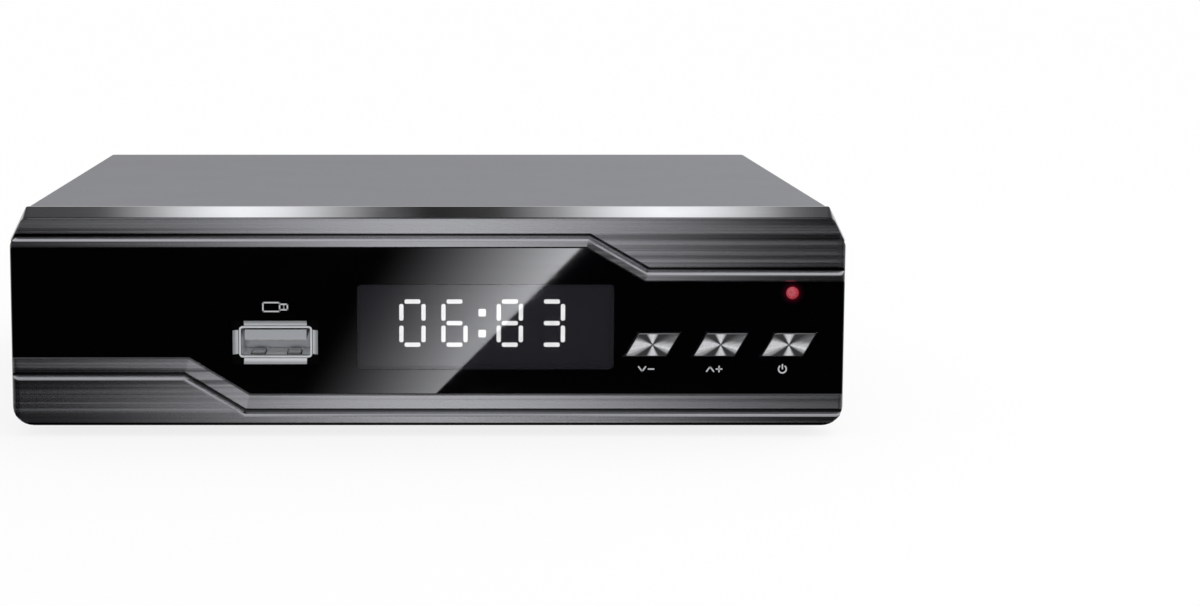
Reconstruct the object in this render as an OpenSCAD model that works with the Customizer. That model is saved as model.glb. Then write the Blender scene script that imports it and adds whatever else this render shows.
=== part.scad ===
// Terrestrial television receiver: a steel case with a stepped, brushed front panel, a glossy window,
// a clock display, three keys and a row of sockets at the back. Millimetres, +Z up, front towards -Y.

/* [Front panel] */
// Overall width of the front panel
body_w = 150; // [146:1:170]
// Height of the front panel
front_h = 39.5; // [38.5:0.5:46]
// Height of the front panel's bottom edge above the table
panel_lift = 2; // [1:0.5:3]
// Radius of the panel's two bottom corners
corner_r = 4; // [2:0.5:5]
// Width of the slanted cut at each top corner
cut_w = 2.95; // [2:0.05:3.5]
// Height of the slanted cut at each top corner
cut_h = 6; // [5:0.5:8]
// Radius of the panel's upright front edges
edge_r = 1.5; // [0.8:0.1:2]
// Thickness of the trims and the window, from the front to the carrier behind them
trim_t = 2.6; // [2.4:0.1:3]
// Depth of the window's face behind the faces of the trims
window_step = 0.6; // [0.4:0.1:0.9]
// Rise of the bright strip's bevel
bevel_h = 1.8; // [1.4:0.1:2.2]
// Depth of the bright strip's bevel
bevel_l = 1.95; // [1.5:0.05:2.2]
// Width of the bright strip beside the slanted cuts
strip_side = 0.5; // [0.4:0.1:0.8]
// Small chamfer that breaks the trims' outer edges
edge_break = 0.2; // [0.1:0.05:0.3]
// Thickness of the carrier plate behind the trims
carrier_t = 2; // [1.5:0.1:2.4]
// Thickness of the carrier's rim
rim_t = 2; // [1.5:0.1:2.5]
// Depth of the front panel from its face to the back of its rim
panel_l = 7.1; // [6.5:0.1:7.6]

/* [Stepped edges] */
// Height of the upper trim at the left, with the bright strip
top_trim_hi = 7.3; // [6.5:0.1:9]
// Height of the upper trim at the right, with the bright strip
top_trim_lo = 13.4; // [11.5:0.1:13.5]
// Distance from the display's right edge back to where the window's top edge starts to slope down
top_slope_in = 5.15; // [4:0.05:10]
// Length of that slope
top_slope_l = 10.6; // [8:0.1:14]
// Height of the lower trim at the left
low_hi = 12.35; // [9:0.05:13]
// Height of the lower trim at the right
low_lo = 5.7; // [5.4:0.1:7]
// Distance from the storage socket's middle to the foot of the window's lower slope
low_slope_in = 4.6; // [4:0.1:8]
// Length of that slope
low_slope_l = 10.9; // [8:0.1:14]
// Width of the upper trim's lip, between the window and the groove
top_lip = 1.2; // [0.8:0.1:1.6]
// Width of the lower trim's lip, between the window and the groove
low_lip = 2.6; // [2:0.1:3]
// Width of the grooves in both trims
groove_w = 1.5; // [1.2:0.1:1.8]
// Depth of the grooves
groove_d = 0.7; // [0.4:0.05:0.9]
// Gap between the window and the trims
seam = 0.06; // [0.04:0.01:0.1]

/* [Display] */
// Distance from the display opening to the first key's middle
display_in = 6.85; // [6.6:0.05:9]
// Height of the display opening's middle above the panel's bottom
display_z = 17.85; // [17:0.05:18.5]
// Width of the display opening
display_w = 46.3; // [44:0.1:46.6]
// Height of the display opening
display_h = 15.5; // [14:0.1:16]
// Corner radius of the display opening
display_r = 0.9; // [0.5:0.1:1.5]
// Thickness of the display module
module_t = 6.2; // [5.8:0.1:7]
// How far the digits' middle lies left of the display opening's middle
digits_in = 0.55; // [0:0.05:1]
// How far the digits' middle lies above the display opening's middle
digits_up = 0.35; // [0:0.05:0.8]
// Height of a digit
digit_h = 8.66; // [8:0.01:9.5]
// Width of a digit
digit_w = 4.76; // [4.2:0.02:5]
// Distance from one digit to the next
digit_pitch = 7.6; // [7:0.1:7.9]
// Distance from the colon to the digit beside it
colon_pitch = 5; // [4.6:0.1:5.4]
// Width of a lit stroke
stroke_w = 0.76; // [0.6:0.02:0.9]
// Width of a colon dot
dot_w = 1.35; // [1:0.05:1.5]

/* [Keys and lamp] */
// Distance of the last key's middle from the panel's right edge
keys_in = 10.1; // [9.8:0.05:12]
// Height of the keys' middle above the panel's bottom
keys_z = 14.7; // [14.2:0.1:15.4]
// Distance from one key to the next
key_pitch = 12.25; // [12:0.05:12.4]
// Length of a key's top and bottom edges
key_w = 7.6; // [7:0.1:7.8]
// Height of a key
key_h = 4.27; // [4:0.01:4.6]
// How far a key's top edge leans to the right
key_lean = 2.5; // [2:0.1:2.8]
// How far a key travels
key_travel = 0.5; // [0.3:0.05:0.5]
// Gap around a key
key_gap = 0.15; // [0.1:0.01:0.2]
// Side of the square switch behind a key
switch_w = 6; // [5.8:0.1:6.2]
// Thickness of the switch's housing
switch_t = 3.5; // [3.3:0.05:3.6]
// Diameter of the switch's plunger
plunger_d = 3.5; // [3:0.1:3.5]
// How far the plunger stands out of its housing
plunger_out = 1.3; // [1.1:0.05:1.4]
// Distance of the lamp from the panel's right edge
lamp_in = 9.5; // [9:0.1:12]
// Distance of the lamp below the window's top edge
lamp_drop = 2.05; // [1.7:0.05:3]
// Diameter of the lamp's lens
lamp_d = 2.2; // [2:0.1:2.6]

/* [Storage socket] */
// Distance from the display opening to the storage socket's middle
port_in = 14.65; // [14:0.05:20]
// Height of the storage socket's middle above the panel's bottom
port_z = 15.1; // [14.8:0.1:15.6]
// Outer width of the socket's shell
port_w = 13.2; // [13:0.1:13.4]
// Outer height of the socket's shell
port_h = 5.75; // [5.6:0.05:6]
// Length of the socket's shell
port_l = 14; // [13:0.5:16]
// How far the shell's lips flare out
port_flare = 1.05; // [0.8:0.05:1.1]
// Thickness of the socket's sheet metal
port_t = 0.35; // [0.3:0.01:0.4]

/* [Case] */
// Thickness of the sheet steel
sheet_t = 0.8; // [0.6:0.1:1]
// Length of the top cover
cover_l = 105; // [104:1:130]
// How far each side of the case stands inside the front panel
side_step = 2.7; // [2.2:0.1:3]
// Outer radius of the cover's bends
bend_r = 1.2; // [1.1:0.1:2]
// Height of the rubber feet, and so of the base above the table
foot_h = 3; // [2.8:0.1:3.4]
// Diameter of the rubber feet
foot_d = 12; // [8:0.5:14]
// Taper at the lower edge of a foot
foot_taper = 0.6; // [0.3:0.1:1]
// Distance of the feet from the case's sides and ends
foot_in = 11; // [9:0.5:16]
// Gap between sheets that slide together, and between the cover and the front panel
sheet_gap = 0.15; // [0.1:0.01:0.2]
// Height of the base's side flanges
flange_h = 10; // [9:0.5:11]
// Height of the base's front and rear flanges
end_flange_h = 7.2; // [6.8:0.1:7.6]
// Number of air slots in each side
side_slots = 9; // [5:1:9]
// Number of air slots in the base
base_slots = 11; // [5:1:11]
// Width of an air slot
slot_w = 1.8; // [1.4:0.1:2]
// Height of the side slots
side_slot_h = 14; // [8:0.5:16]
// Distance from one side slot to the next
side_pitch = 4; // [3.4:0.1:6]
// Length of the base's slots
base_slot_l = 22; // [12:1:40]
// Distance from one slot in the base to the next
base_pitch = 5; // [3.6:0.1:6]
// Distance of the base's flanges from its corners
flange_in = 1.5; // [1.2:0.1:3]

/* [Circuit boards] */
// Thickness of both circuit boards
board_t = 1.6; // [1.2:0.1:1.6]
// Where the main board starts behind the panel's face
board_y = 14; // [13.4:0.1:15]
// Gap between the main board and the base's side flanges
board_side_gap = 4.5; // [4:0.1:6]
// Distance of the control board from the panel's right edge
control_side = 5; // [4.5:0.1:6]
// Gap between the storage socket's shell and the control board
control_gap = 3.3; // [2:0.1:4]
// Height of the control board's lower edge above the panel's bottom
control_low = 9; // [8:0.1:9.5]
// Distance of the control board's upper edge below the panel's top
control_top = 5.5; // [5:0.1:6.5]
// Outer diameter of the main board's pillars
pillar_d = 6; // [5.5:0.1:7]
// Thread diameter of every screw
screw_d = 2.9; // [2.5:0.1:3]
// Head diameter of every screw
head_d = 5.4; // [4.8:0.1:5.6]
// Head height of every screw
head_h = 1.7; // [1.2:0.1:2]

/* [Board parts] */
// Side of the main processor
chip_w = 19; // [14:1:21]
// Thickness of the main processor
chip_t = 1.6; // [1.2:0.1:2.4]
// Side of the heat sink
sink_w = 24; // [22:1:26]
// Height of the heat sink
sink_h = 9; // [6:0.5:14]
// Number of fins on the heat sink
sink_fins = 8; // [5:1:9]
// Width of the tuner's shield
tuner_w = 38; // [36:1:40]
// Length of the tuner's shield
tuner_l = 28; // [24:1:34]
// Height of the tuner's shield
tuner_h = 13; // [13:0.5:15]

/* [Rear sockets] */
// How far the round sockets stand out of the rear panel
socket_l = 9.5; // [8:0.5:11]
// Distance of the tuner from the main board's right edge
tuner_in = 2.05; // [1:0.05:4]
// Distance of the power inlet from the main board's left edge
inlet_in = 3.35; // [2:0.05:6]
// Distance between the tuner's two sockets
aerial_pitch = 18; // [16:0.5:19]
// Height of the round sockets above the main board
socket_rise = 6.6; // [6.4:0.1:6.8]
// Outer diameter of the aerial socket
aerial_d = 11.4; // [11:0.1:12]
// Bore of the aerial socket
aerial_bore = 9.55; // [9.5:0.01:9.6]
// Outer diameter of the loop-through plug sleeve
loop_d = 9.5; // [9.45:0.01:9.55]
// Outer width of the digital picture socket
picture_w = 15; // [14.8:0.1:15.2]
// Outer height of the digital picture socket
picture_h = 6; // [5.8:0.1:6.2]
// Length of the digital picture socket's shell
picture_l = 11.5; // [10.5:0.5:12.5]
// Distance between phono sockets
phono_pitch = 14; // [13:0.5:14.5]
// Outer diameter of a phono socket's metal ring
phono_d = 8.3; // [8.25:0.01:8.35]
// Outer diameter of a phono socket's coloured collar
collar_d = 10.6; // [10.4:0.1:11]
// Bore of the power inlet
power_bore = 6.3; // [6:0.1:6.5]
// Diameter of the power inlet's pin
power_pin_d = 2; // [1.9:0.05:2.1]

/* [Hidden] */
$fn = 48;

hw = body_w / 2;
cut_z = front_h - cut_h;
cut_k = cut_w / cut_h;
face_h = front_h - bevel_h;
far = 2 * body_w;
eps = 0.01;

// Depths, measured back from the front panel's face
carrier_y = trim_t + carrier_t;
cover_y = trim_t + sheet_gap;
side_y = panel_l + sheet_gap;
rear_y = cover_y + cover_l;
overall_l = rear_y + socket_l;
rear_in = rear_y - sheet_t;

// Faces of the trims' lips and grooves, as distances across and depths
lip_edge = 0.25;
top_lip_low = 0.35;
top_lip_high = 0.12;
low_lip_low = 0.1;
low_lip_high = 0.05;
groove_lean = 0.35;

// Heights, measured up from the table
panel_top = panel_lift + front_h;
pan_top = foot_h + sheet_t;

// Heights, measured up from the panel's bottom edge
carrier_top = front_h - sheet_t - sheet_gap;
top_hi = front_h - top_trim_hi;
top_lo = front_h - top_trim_lo;

// Half widths
case_hw = hw - side_step;
pan_hw = case_hw - sheet_t - sheet_gap;
board_hw = pan_hw - sheet_t - board_side_gap;

// Places along the front, from the keys at the right to the storage socket
key_xs = [for (i = [-2:0]) hw - keys_in + i * key_pitch];
lamp_x = hw - lamp_in;
lamp_z = top_lo - lamp_drop;
display_x1 = key_xs[0] - display_in;
display_x = display_x1 - display_w / 2;
port_x = display_x1 - display_w - port_in;
digits_x = display_x - digits_in;
digits_z = display_z + digits_up;
top_x1 = display_x1 - top_slope_in;
low_x2 = port_x - low_slope_in;

// Control board: the display module stands between it and the window
module_gap = 0.3;
module_rim = 0.6;
control_y = trim_t + module_gap + module_t;
control_x0 = port_x + port_w / 2 + control_gap;
control_x1 = hw - control_side;
control_z1 = front_h - control_top;
stroke_rise = 0.15;
panel_hole_room = 0.5;

// Keys: a flange behind the window holds each key in
key_flange = 0.6;
key_flange_t = 0.8;
key_rest_gap = 0.1;
key_well = 0.3;
key_chamfer = 0.3;
stem_d = 4;
switch_y = control_y - switch_t;
plunger_y = switch_y - plunger_out;
plunger_in = 0.7;
plunger_gap = 0.05;
plunger_room = 0.3;
switch_leg_w = 0.7;
switch_leg_z = 2.2;

// Lamp and remote receiver
lamp_gap = 0.05;
lamp_flange_d = lamp_d + 1;
lamp_flange_t = 0.6;
led_r = 1.5;
led_gap = 0.3;
led_rim = 0.4;
led_rim_t = 1;
eye_x = (key_xs[1] + key_xs[2]) / 2;
eye_z = lamp_z;
eye_r = 1.8;
eye_room = 0.3;
eye_w = 5;
eye_h = 5.6;

// Plug-in link between the boards
link_w = 26;
link_h = 3.2;
link_in = 3.4;
link_pitch = 2.54;
link_pins = 10;
link_pin_w = 1;
link_slot_y = 2;
link_slot_d = 1;

// Storage socket: its shell lies on the main board, whose height follows
port_y = 0.2;
port_room = 0.25;
port_hole_r = 0.6;
port_r = 0.7;
lip_end_w = 0.95;
lip_end_h = 0.7;
port_lip_w = port_w - 2 * lip_end_w;
port_lip_h = port_h - 2 * lip_end_h;
port_lip_l = 1.1;
port_lip_fold = 0.3;
port_in_w = port_w - 2 * port_t;
port_in_h = port_h - 2 * port_t;
port_spring_x = 3.25;
port_spring_w = 2.8;
port_spring_l = 6.5;
port_spring_y = 2.2;
port_spring_t = 0.3;
tongue_gap = 0.05;
tongue_side = 0.7;
tongue_y = 1.1;
tongue_l = 9.3;
tongue_t = 1.85;
tongue_top = 0.3;
contact_xs = [-3.5, -1, 1, 3.5];
contact_w = 1;
contact_t = 0.15;
contact_in = 0.5;
contact_l = tongue_l - tongue_y - contact_in;
board_top = panel_lift + port_z - port_h / 2;
board_end_gap = 0.4;
board_end = rear_in - sheet_t - board_end_gap;
tab_gap = 0.9;
tab_y = carrier_y + tab_gap;
tab_side = 2;
tab_hw = port_w / 2 + tab_side;

// Screws
screw_room = 0.3;
thread_room = 0.1;
head_round = 0.5;
drive_w = 3.2;
drive_t = 0.6;
drive_d = 0.8;
cover_screw_l = 5;
cover_screw_front = 18;
cover_screw_rear = 22;
cover_screw_up = 6;
cover_screw_ys = [side_y + cover_screw_front, rear_y - cover_screw_rear];
cover_screw_z = foot_h + cover_screw_up;
rear_screw_in = 8;
rear_screw_xs = [-pan_hw + rear_screw_in, 0, pan_hw - rear_screw_in];
end_screw_up = 3.6;
end_screw_z = pan_top + end_screw_up;
bezel_screw_in = 15;
bezel_screw_xs = [-hw + bezel_screw_in, hw - bezel_screw_in];
boss_d = 6;
pillar_floor = 1;
board_screw_l = 5;
board_screw_in = 5;
board_screw_front = 6;
board_screw_rear = 22;
tuner_screw_gap = 7;
board_screw_x = board_hw - board_screw_in;
board_screw_pts = [
    [-board_screw_x, board_y + board_screw_front], [board_screw_x, board_y + board_screw_front],
    [-board_screw_x, board_end - board_screw_rear],
    [board_screw_x, board_end - tuner_l - tuner_screw_gap]
];
control_boss_d = 5;
control_screw_d = 2.2;
control_screw_in = 2.6;
control_head_d = 4;
control_head_h = 1.4;
control_screw_x0 = control_x0 + control_screw_in;
control_screw_z1 = control_z1 - control_screw_in;
control_screw_pts = [
    [control_screw_x0, control_low + control_screw_in], [control_screw_x0, control_screw_z1],
    [display_x1 + control_boss_d / 2, control_screw_z1],
    [control_x1 - control_screw_in, control_screw_z1]
];

// Rear sockets: the power inlet at one end, the tuner at the other, the rest evenly between them
socket_z = board_top + socket_rise;
socket_out = rear_y + socket_l;
hole_room = 0.3;
inlet_w = 9.2;
inlet_l = 13.6;
inlet_h = 11;
inlet_out = 0.6;
inlet_depth = 9.6;
inlet_pin_in = 0.8;
power_x = -board_hw + inlet_in + inlet_w / 2;
tuner_x = board_hw - tuner_in - tuner_w / 2;
tuner_lid_t = 0.4;
tuner_lid_in = 0.8;
phono_block_w = 3 * phono_pitch;
rear_gap = (tuner_x - tuner_w / 2 - power_x - inlet_w / 2 - phono_block_w - picture_w) / 3;
phono_x = power_x + inlet_w / 2 + rear_gap + phono_block_w / 2;
picture_x = tuner_x - tuner_w / 2 - rear_gap - picture_w / 2;
aerial_xs = [tuner_x + aerial_pitch / 2, tuner_x - aerial_pitch / 2];
aerial_core_d = 4;
aerial_core_bore = 2.4;
aerial_core_in = 1.2;
loop_wall = 0.6;
loop_pin_d = 2.35;
loop_pin_in = 0.6;
core_gap = 0.05;
core_base = 1.5;
picture_z = board_top + picture_h / 2;
picture_t = 0.4;
picture_out = 0.4;
picture_room = 0.1;
picture_mouth_l = 8;
picture_tongue_w = 11.6;
picture_tongue_t = 1.3;
picture_tongue_in = 1.35;
phono_xs = [for (i = [-1:1]) phono_x + i * phono_pitch];
phono_wall = 0.45;
phono_base_d = phono_d - 1.1;
phono_gap = 0.05;
phono_bore = 3.3;
phono_bore_in = 2;
phono_core_in = 0.4;
collar_l = 2.6;
phono_shoulder = rear_y + collar_l + phono_wall;
phono_body_l = 11;
phono_body_h = 13;
phono_slot_w = 1;
phono_slot_l = 3;

// Board parts: the processor's middle, then what stands beside it or at the board's two sides
chip_x = -6;
chip_in = 34;
chip_pos = [chip_x, board_y + chip_in];
pad_t = 0.5;
pad_in = 1.5;
sink_base = 2;
fin_t = 1.1;
memory_pos = chip_pos + [24, 8];
memory_size = [8, 13, 1.1];
flash_pos = chip_pos + [22, -12];
flash_size = [5.2, 5.2, 1.8];
crystal_pos = chip_pos + [-20, -4];
crystal_size = [4.6, 11, 3.5];
cans = [
    // side of the board, distance from that side, distance from the front, diameter, height
    [-1, 18, 46, 10, 16], [-1, 14, 30, 8, 12], [-1, 26, 28, 8, 12], [-1, 6, 22, 6.3, 11],
    [-1, 36, 52, 6.3, 11], [1, 34, 16, 6.3, 11], [1, 24, 24, 8, 12], [1, 38, 30, 6.3, 11]
];
can_cap = 0.4;
can_rim = 0.5;
coils = [[-1, 16, 16], [-1, 32, 40], [1, 16, 40]];
coil_w = 7;
coil_core_d = 6;
coil_base_t = 1;
coil_h = 4.2;
coil_cap_t = 0.8;
regulator_size = [3, 3, 1.2];
regulator_gap = 9.5;
chip_rows = [
    // where the row starts and the angle that it runs at
    [chip_pos + [-16, -12], 0], [chip_pos + [10, 18], 0], [chip_pos + [-18, 24], 0],
    [chip_pos + [36, 4], 90], [board_place([-1, 8, 38]), 90]
];
chip_row_pitch = 2.6;
small_size = [1.6, 0.9, 0.7];

function unit(v) = v / norm(v);
function turn(a) = a > 180 ? a - 360 : a < -180 ? a + 360 : a;

// Points of an arc of radius r that rounds the corner b of the path a, b, c
function fillet(a, b, c, r, n = 8) =
    let (
        u = unit(a - b),
        w = unit(c - b),
        half = acos(u * w) / 2,
        o = b + unit(u + w) * r / sin(half),
        p = b + u * r / tan(half) - o,
        q = b + w * r / tan(half) - o,
        a0 = atan2(p.y, p.x),
        sweep = turn(atan2(q.y, q.x) - a0)
    )
    [for (i = [0:n]) o + r * [cos(a0 + sweep * i / n), sin(a0 + sweep * i / n)]];

function rounded(pts, radii) =
    let (n = len(pts))
    [for (i = [0:n - 1])
        each radii[i] > 0
            ? fillet(pts[(i + n - 1) % n], pts[i], pts[(i + 1) % n], radii[i])
            : [pts[i]]];

// Outline of the front panel: inset from its edge, side width of the strip, and height
function panel_outline(inset, side, top, low_r, high_r) =
    let (
        x0 = hw - inset,
        z1 = cut_z - (side - inset) / cut_k,
        x2 = hw - cut_k * (top - cut_z) - side
    )
    rounded(
        [[-x0, inset], [x0, inset], [x0, z1], [x2, top], [-x2, top], [-x0, z1]],
        [corner_r - inset, corner_r - inset, low_r, high_r, high_r, low_r]
    );

outer_outline = panel_outline(0, 0, front_h, 2, 0.5);
face_outline = panel_outline(0, strip_side, face_h, 1.5, 1.8);
broken_outline = panel_outline(
    edge_break, strip_side + edge_break, face_h - edge_break, 1.5, 1.7
);

top_edge = [top_x1, top_x1 + top_slope_l, top_hi, top_lo];
low_edge = [low_x2 - low_slope_l, low_x2, low_hi, low_lo];

// The four points of a stepped edge moved up (side 1) or down (side -1) by d
function edge_line(edge, side, d) =
    let (
        k = tan(atan2(edge[2] - edge[3], edge[1] - edge[0]) / 2),
        s = side * d
    )
    [
        [-far, edge[2] + s], [edge[0] + k * s, edge[2] + s],
        [edge[1] + k * s, edge[3] + s], [far, edge[3] + s]
    ];

// Place on the main board of a part given as [side, distance from that side, distance from the front]
function board_place(c) = [c[0] * (board_hw - c[1]), board_y + c[2]];

function reversed(list) = [for (i = [len(list) - 1:-1:0]) list[i]];

// Corners of a leaning key, grown by c on every side
function key_outline(c) =
    let (
        h = key_h + 2 * c,
        lean = key_lean * h / key_h,
        w = key_w + 2 * c * norm([1, key_lean / key_h])
    )
    [
        [-w / 2 - lean / 2, -h / 2], [w / 2 - lean / 2, -h / 2],
        [w / 2 + lean / 2, h / 2], [-w / 2 + lean / 2, h / 2]
    ];

// Everything is drawn from the front panel's face and then centred on its length
module placed() {
    translate([0, -overall_l / 2, 0]) children();
}

// Extrudes an outline of x and z from depth y0 to depth y1
module slab(y0, y1) {
    translate([0, y1, 0]) rotate([90, 0, 0]) linear_extrude(y1 - y0) children();
}

module on_panel() {
    translate([0, 0, panel_lift]) children();
}

module round_rect(w, h, r) {
    square([w - 2 * r, h], center = true);
    square([w, h - 2 * r], center = true);
    for (x = [-1, 1], y = [-1, 1]) {
        translate([x * (w / 2 - r), y * (h / 2 - r)]) circle(r);
    }
}

module rod(x, z, d, y0, y1) {
    translate([x, y1, z]) rotate([90, 0, 0]) cylinder(d = d, h = y1 - y0);
}

// A block that stands at height z round the middle p
module block(p, z, size) {
    translate([p.x - size.x / 2, p.y - size.y / 2, z]) cube(size);
}

// Plan of the front panel with its rounded upright edges, through its whole height
module panel_plan() {
    translate([0, 0, -eps]) linear_extrude(front_h + 1) {
        translate([-hw + edge_r, 0]) square([body_w - 2 * edge_r, panel_l]);
        translate([-hw, edge_r]) square([body_w, panel_l - edge_r]);
        for (x = [-1, 1]) {
            translate([x * (hw - edge_r), edge_r]) circle(edge_r);
        }
    }
}

// Sweeps a profile of [distance from the edge, depth] along a stepped edge
module stepped(edge, side, profile) {
    n = len(profile);
    pts = [
        for (i = [0:3])
            for (p = profile)
                let (q = edge_line(edge, side, p[0])[i]) [q.x, p[1], q.y]
    ];
    sides = [
        for (i = [0:2])
            for (j = [0:n - 1])
                let (a = i * n + j, b = i * n + (j + 1) % n)
                each [[a, a + n, b + n], [a, b + n, b]]
    ];
    caps = [[for (j = [n - 1:-1:0]) j], [for (j = [0:n - 1]) 3 * n + j]];
    faces = concat(sides, caps);
    polyhedron(pts, side > 0 ? [for (f = faces) reversed(f)] : faces);
}

module trim_blank() {
    intersection() {
        hull() {
            slab(0, eps) polygon(broken_outline);
            slab(edge_break, trim_t) polygon(face_outline);
        }
        panel_plan();
    }
}

module front_bezel() {
    back = panel_l;
    port_grow = port_flare + panel_hole_room;
    color("#17181a") placed() on_panel() difference() {
        union() {
            intersection() {
                difference() {
                    slab(trim_t, back) polygon(outer_outline);
                    slab(carrier_y, back + 1) intersection() {
                        polygon(panel_outline(rim_t, rim_t, carrier_top - rim_t, 1, 1));
                        translate([-far, 0]) square([2 * far, carrier_top - rim_t]);
                    }
                    translate([-far, 0, carrier_top]) cube([2 * far, back + 1, front_h]);
                }
                panel_plan();
            }
            for (x = bezel_screw_xs) {
                rod(x, end_screw_z - panel_lift, boss_d, carrier_y - eps, panel_l);
            }
            for (p = control_screw_pts) {
                rod(p.x, p.y, control_boss_d, carrier_y - eps, control_y);
            }
        }
        slab(0, carrier_y + 1) {
            translate([display_x, display_z])
                square([display_w - module_rim, display_h - module_rim], center = true);
            translate([port_x, port_z])
                square([port_w + 2 * port_grow, port_h + 2 * port_grow], center = true);
            for (x = key_xs) {
                translate([x, keys_z]) polygon(key_outline(key_flange + key_well));
            }
        }
        rod(lamp_x, lamp_z, lamp_flange_d + 2 * panel_hole_room, 0, carrier_y + 1);
        rod(eye_x, eye_z, 2 * (eye_r + panel_hole_room), 0, carrier_y + 1);
        for (x = bezel_screw_xs) {
            rod(x, end_screw_z - panel_lift, screw_d + thread_room, carrier_y - 1, panel_l + 1);
        }
        for (p = control_screw_pts) {
            rod(p.x, p.y, control_screw_d + thread_room, carrier_y - 1, control_y + 1);
        }
    }
}

module upper_trim() {
    g0 = top_lip;
    g1 = top_lip + groove_w;
    color("#7d7f84") placed() on_panel() intersection() {
        trim_blank();
        stepped(top_edge, 1, [
            [0, trim_t], [0, window_step], [lip_edge, top_lip_low], [g0, top_lip_high],
            [g0 + groove_w / 2, groove_d], [g1 - groove_lean, groove_d], [g1, 0],
            [front_h, 0], [front_h, trim_t]
        ]);
    }
}

module lower_trim() {
    g0 = low_lip;
    g1 = low_lip + groove_w;
    color("#7d7f84") placed() on_panel() intersection() {
        trim_blank();
        stepped(low_edge, -1, [
            [0, trim_t], [0, window_step], [lip_edge, low_lip_low], [g0, low_lip_high],
            [g0 + groove_lean, groove_d], [g1 - groove_w / 2, groove_d], [g1, 0],
            [front_h, 0], [front_h, trim_t]
        ]);
    }
}

module bright_strip() {
    color("#c9cbd0") placed() on_panel() intersection() {
        difference() {
            hull() {
                slab(eps, 2 * eps) polygon(face_outline);
                slab(bevel_l, trim_t) polygon(outer_outline);
            }
            slab(-1, trim_t + 1) polygon(panel_outline(
                -seam, strip_side - seam, face_h + seam, 1.5, 1.8
            ));
        }
        panel_plan();
        translate([-far, -1, cut_z]) cube([2 * far, trim_t + 2, cut_h + 1]);
    }
}

module front_window() {
    color("#050506") placed() on_panel() intersection() {
        difference() {
            slab(window_step, trim_t) polygon(concat(
                edge_line(low_edge, 1, seam), reversed(edge_line(top_edge, -1, seam))
            ));
            slab(0, trim_t + 1) {
                translate([display_x, display_z]) round_rect(display_w, display_h, display_r);
                translate([port_x, port_z]) round_rect(
                    port_w + 2 * (port_flare + port_room), port_h + 2 * (port_flare + port_room),
                    port_hole_r
                );
                for (x = key_xs) {
                    translate([x, keys_z]) polygon(key_outline(key_gap));
                }
            }
            rod(lamp_x, lamp_z, lamp_d + 2 * lamp_gap, 0, trim_t + 1);
        }
        slab(-1, trim_t + 1) polygon(face_outline);
        panel_plan();
    }
}

module display_filter() {
    color("#222226") placed() on_panel() slab(window_step, trim_t)
        translate([display_x, display_z])
            round_rect(display_w - 2 * seam, display_h - 2 * seam, display_r - seam);
}

module lamp_lens() {
    r = lamp_d / 2;
    rise = 0.25;
    ball = (r * r + rise * rise) / (2 * rise);
    color("#e04858") placed() on_panel() {
        rod(lamp_x, lamp_z, lamp_d, window_step, trim_t);
        intersection() {
            translate([lamp_x, window_step - rise + ball, lamp_z]) sphere(ball);
            rod(lamp_x, lamp_z, lamp_d, window_step - rise - 1, window_step + eps);
        }
        rod(lamp_x, lamp_z, lamp_flange_d, trim_t, trim_t + lamp_flange_t);
    }
}

// A leaning key: a chamfered cap, the flange that holds it in and the stem to its switch
module key(x) {
    flange_y = trim_t + key_rest_gap;
    color("#b9bbc0") placed() on_panel() {
        translate([x, 0, keys_z]) {
            hull() {
                slab(0, eps) polygon(key_outline(-key_chamfer));
                slab(key_chamfer, key_chamfer + eps) polygon(key_outline(0));
            }
            slab(key_chamfer, flange_y) polygon(key_outline(0));
            slab(flange_y, flange_y + key_flange_t) polygon(key_outline(key_flange));
        }
        rod(x, keys_z, stem_d, flange_y + key_flange_t, plunger_y);
    }
}

module plunger(x) {
    color("#202124") placed() on_panel()
        rod(x, keys_z, plunger_d, plunger_y, switch_y + plunger_in);
}

module channel_down_key() {
    key(key_xs[0]);
}

module channel_up_key() {
    key(key_xs[1]);
}

module standby_key() {
    key(key_xs[2]);
}

module channel_down_plunger() {
    plunger(key_xs[0]);
}

module channel_up_plunger() {
    plunger(key_xs[1]);
}

module standby_plunger() {
    plunger(key_xs[2]);
}

module switch_housings() {
    well = plunger_in + key_travel + plunger_room;
    color("#b7b9bd") placed() on_panel() for (x = key_xs) {
        difference() {
            slab(switch_y, control_y) translate([x, keys_z]) square(switch_w, center = true);
            rod(x, keys_z, plunger_d + 2 * plunger_gap, switch_y - 1, switch_y + well);
        }
    }
}

module switch_terminals() {
    w = switch_leg_w;
    color("#c8c9cc") placed() on_panel() for (x = key_xs, sx = [-1, 1], sz = [-1, 1]) {
        translate([x + sx * (switch_w / 2 + w / 2), control_y - w, keys_z + sz * switch_leg_z])
            translate([-w / 2, 0, -w / 2]) cube([w, w, w]);
    }
}

module control_board() {
    color("#1e6b3c") placed() difference() {
        translate([control_x0, control_y, panel_lift + control_low])
            cube([control_x1 - control_x0, board_t, control_z1 - control_low]);
        for (p = control_screw_pts) {
            rod(p.x, p.y + panel_lift, control_screw_d + screw_room, 0, far);
        }
    }
}

module control_board_screws() {
    y1 = control_y + board_t;
    color("#9fa3a8") placed() on_panel() for (p = control_screw_pts) {
        rod(p.x, p.y, control_head_d, y1, y1 + control_head_h);
        rod(p.x, p.y, control_screw_d, carrier_y + thread_room, y1);
    }
}

module display_module() {
    side = module_rim + 2 * module_gap;
    color("#2a2a2d") placed() on_panel() slab(trim_t + module_gap, control_y)
        translate([display_x, display_z]) square([display_w - side, display_h - side], center = true);
}

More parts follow.
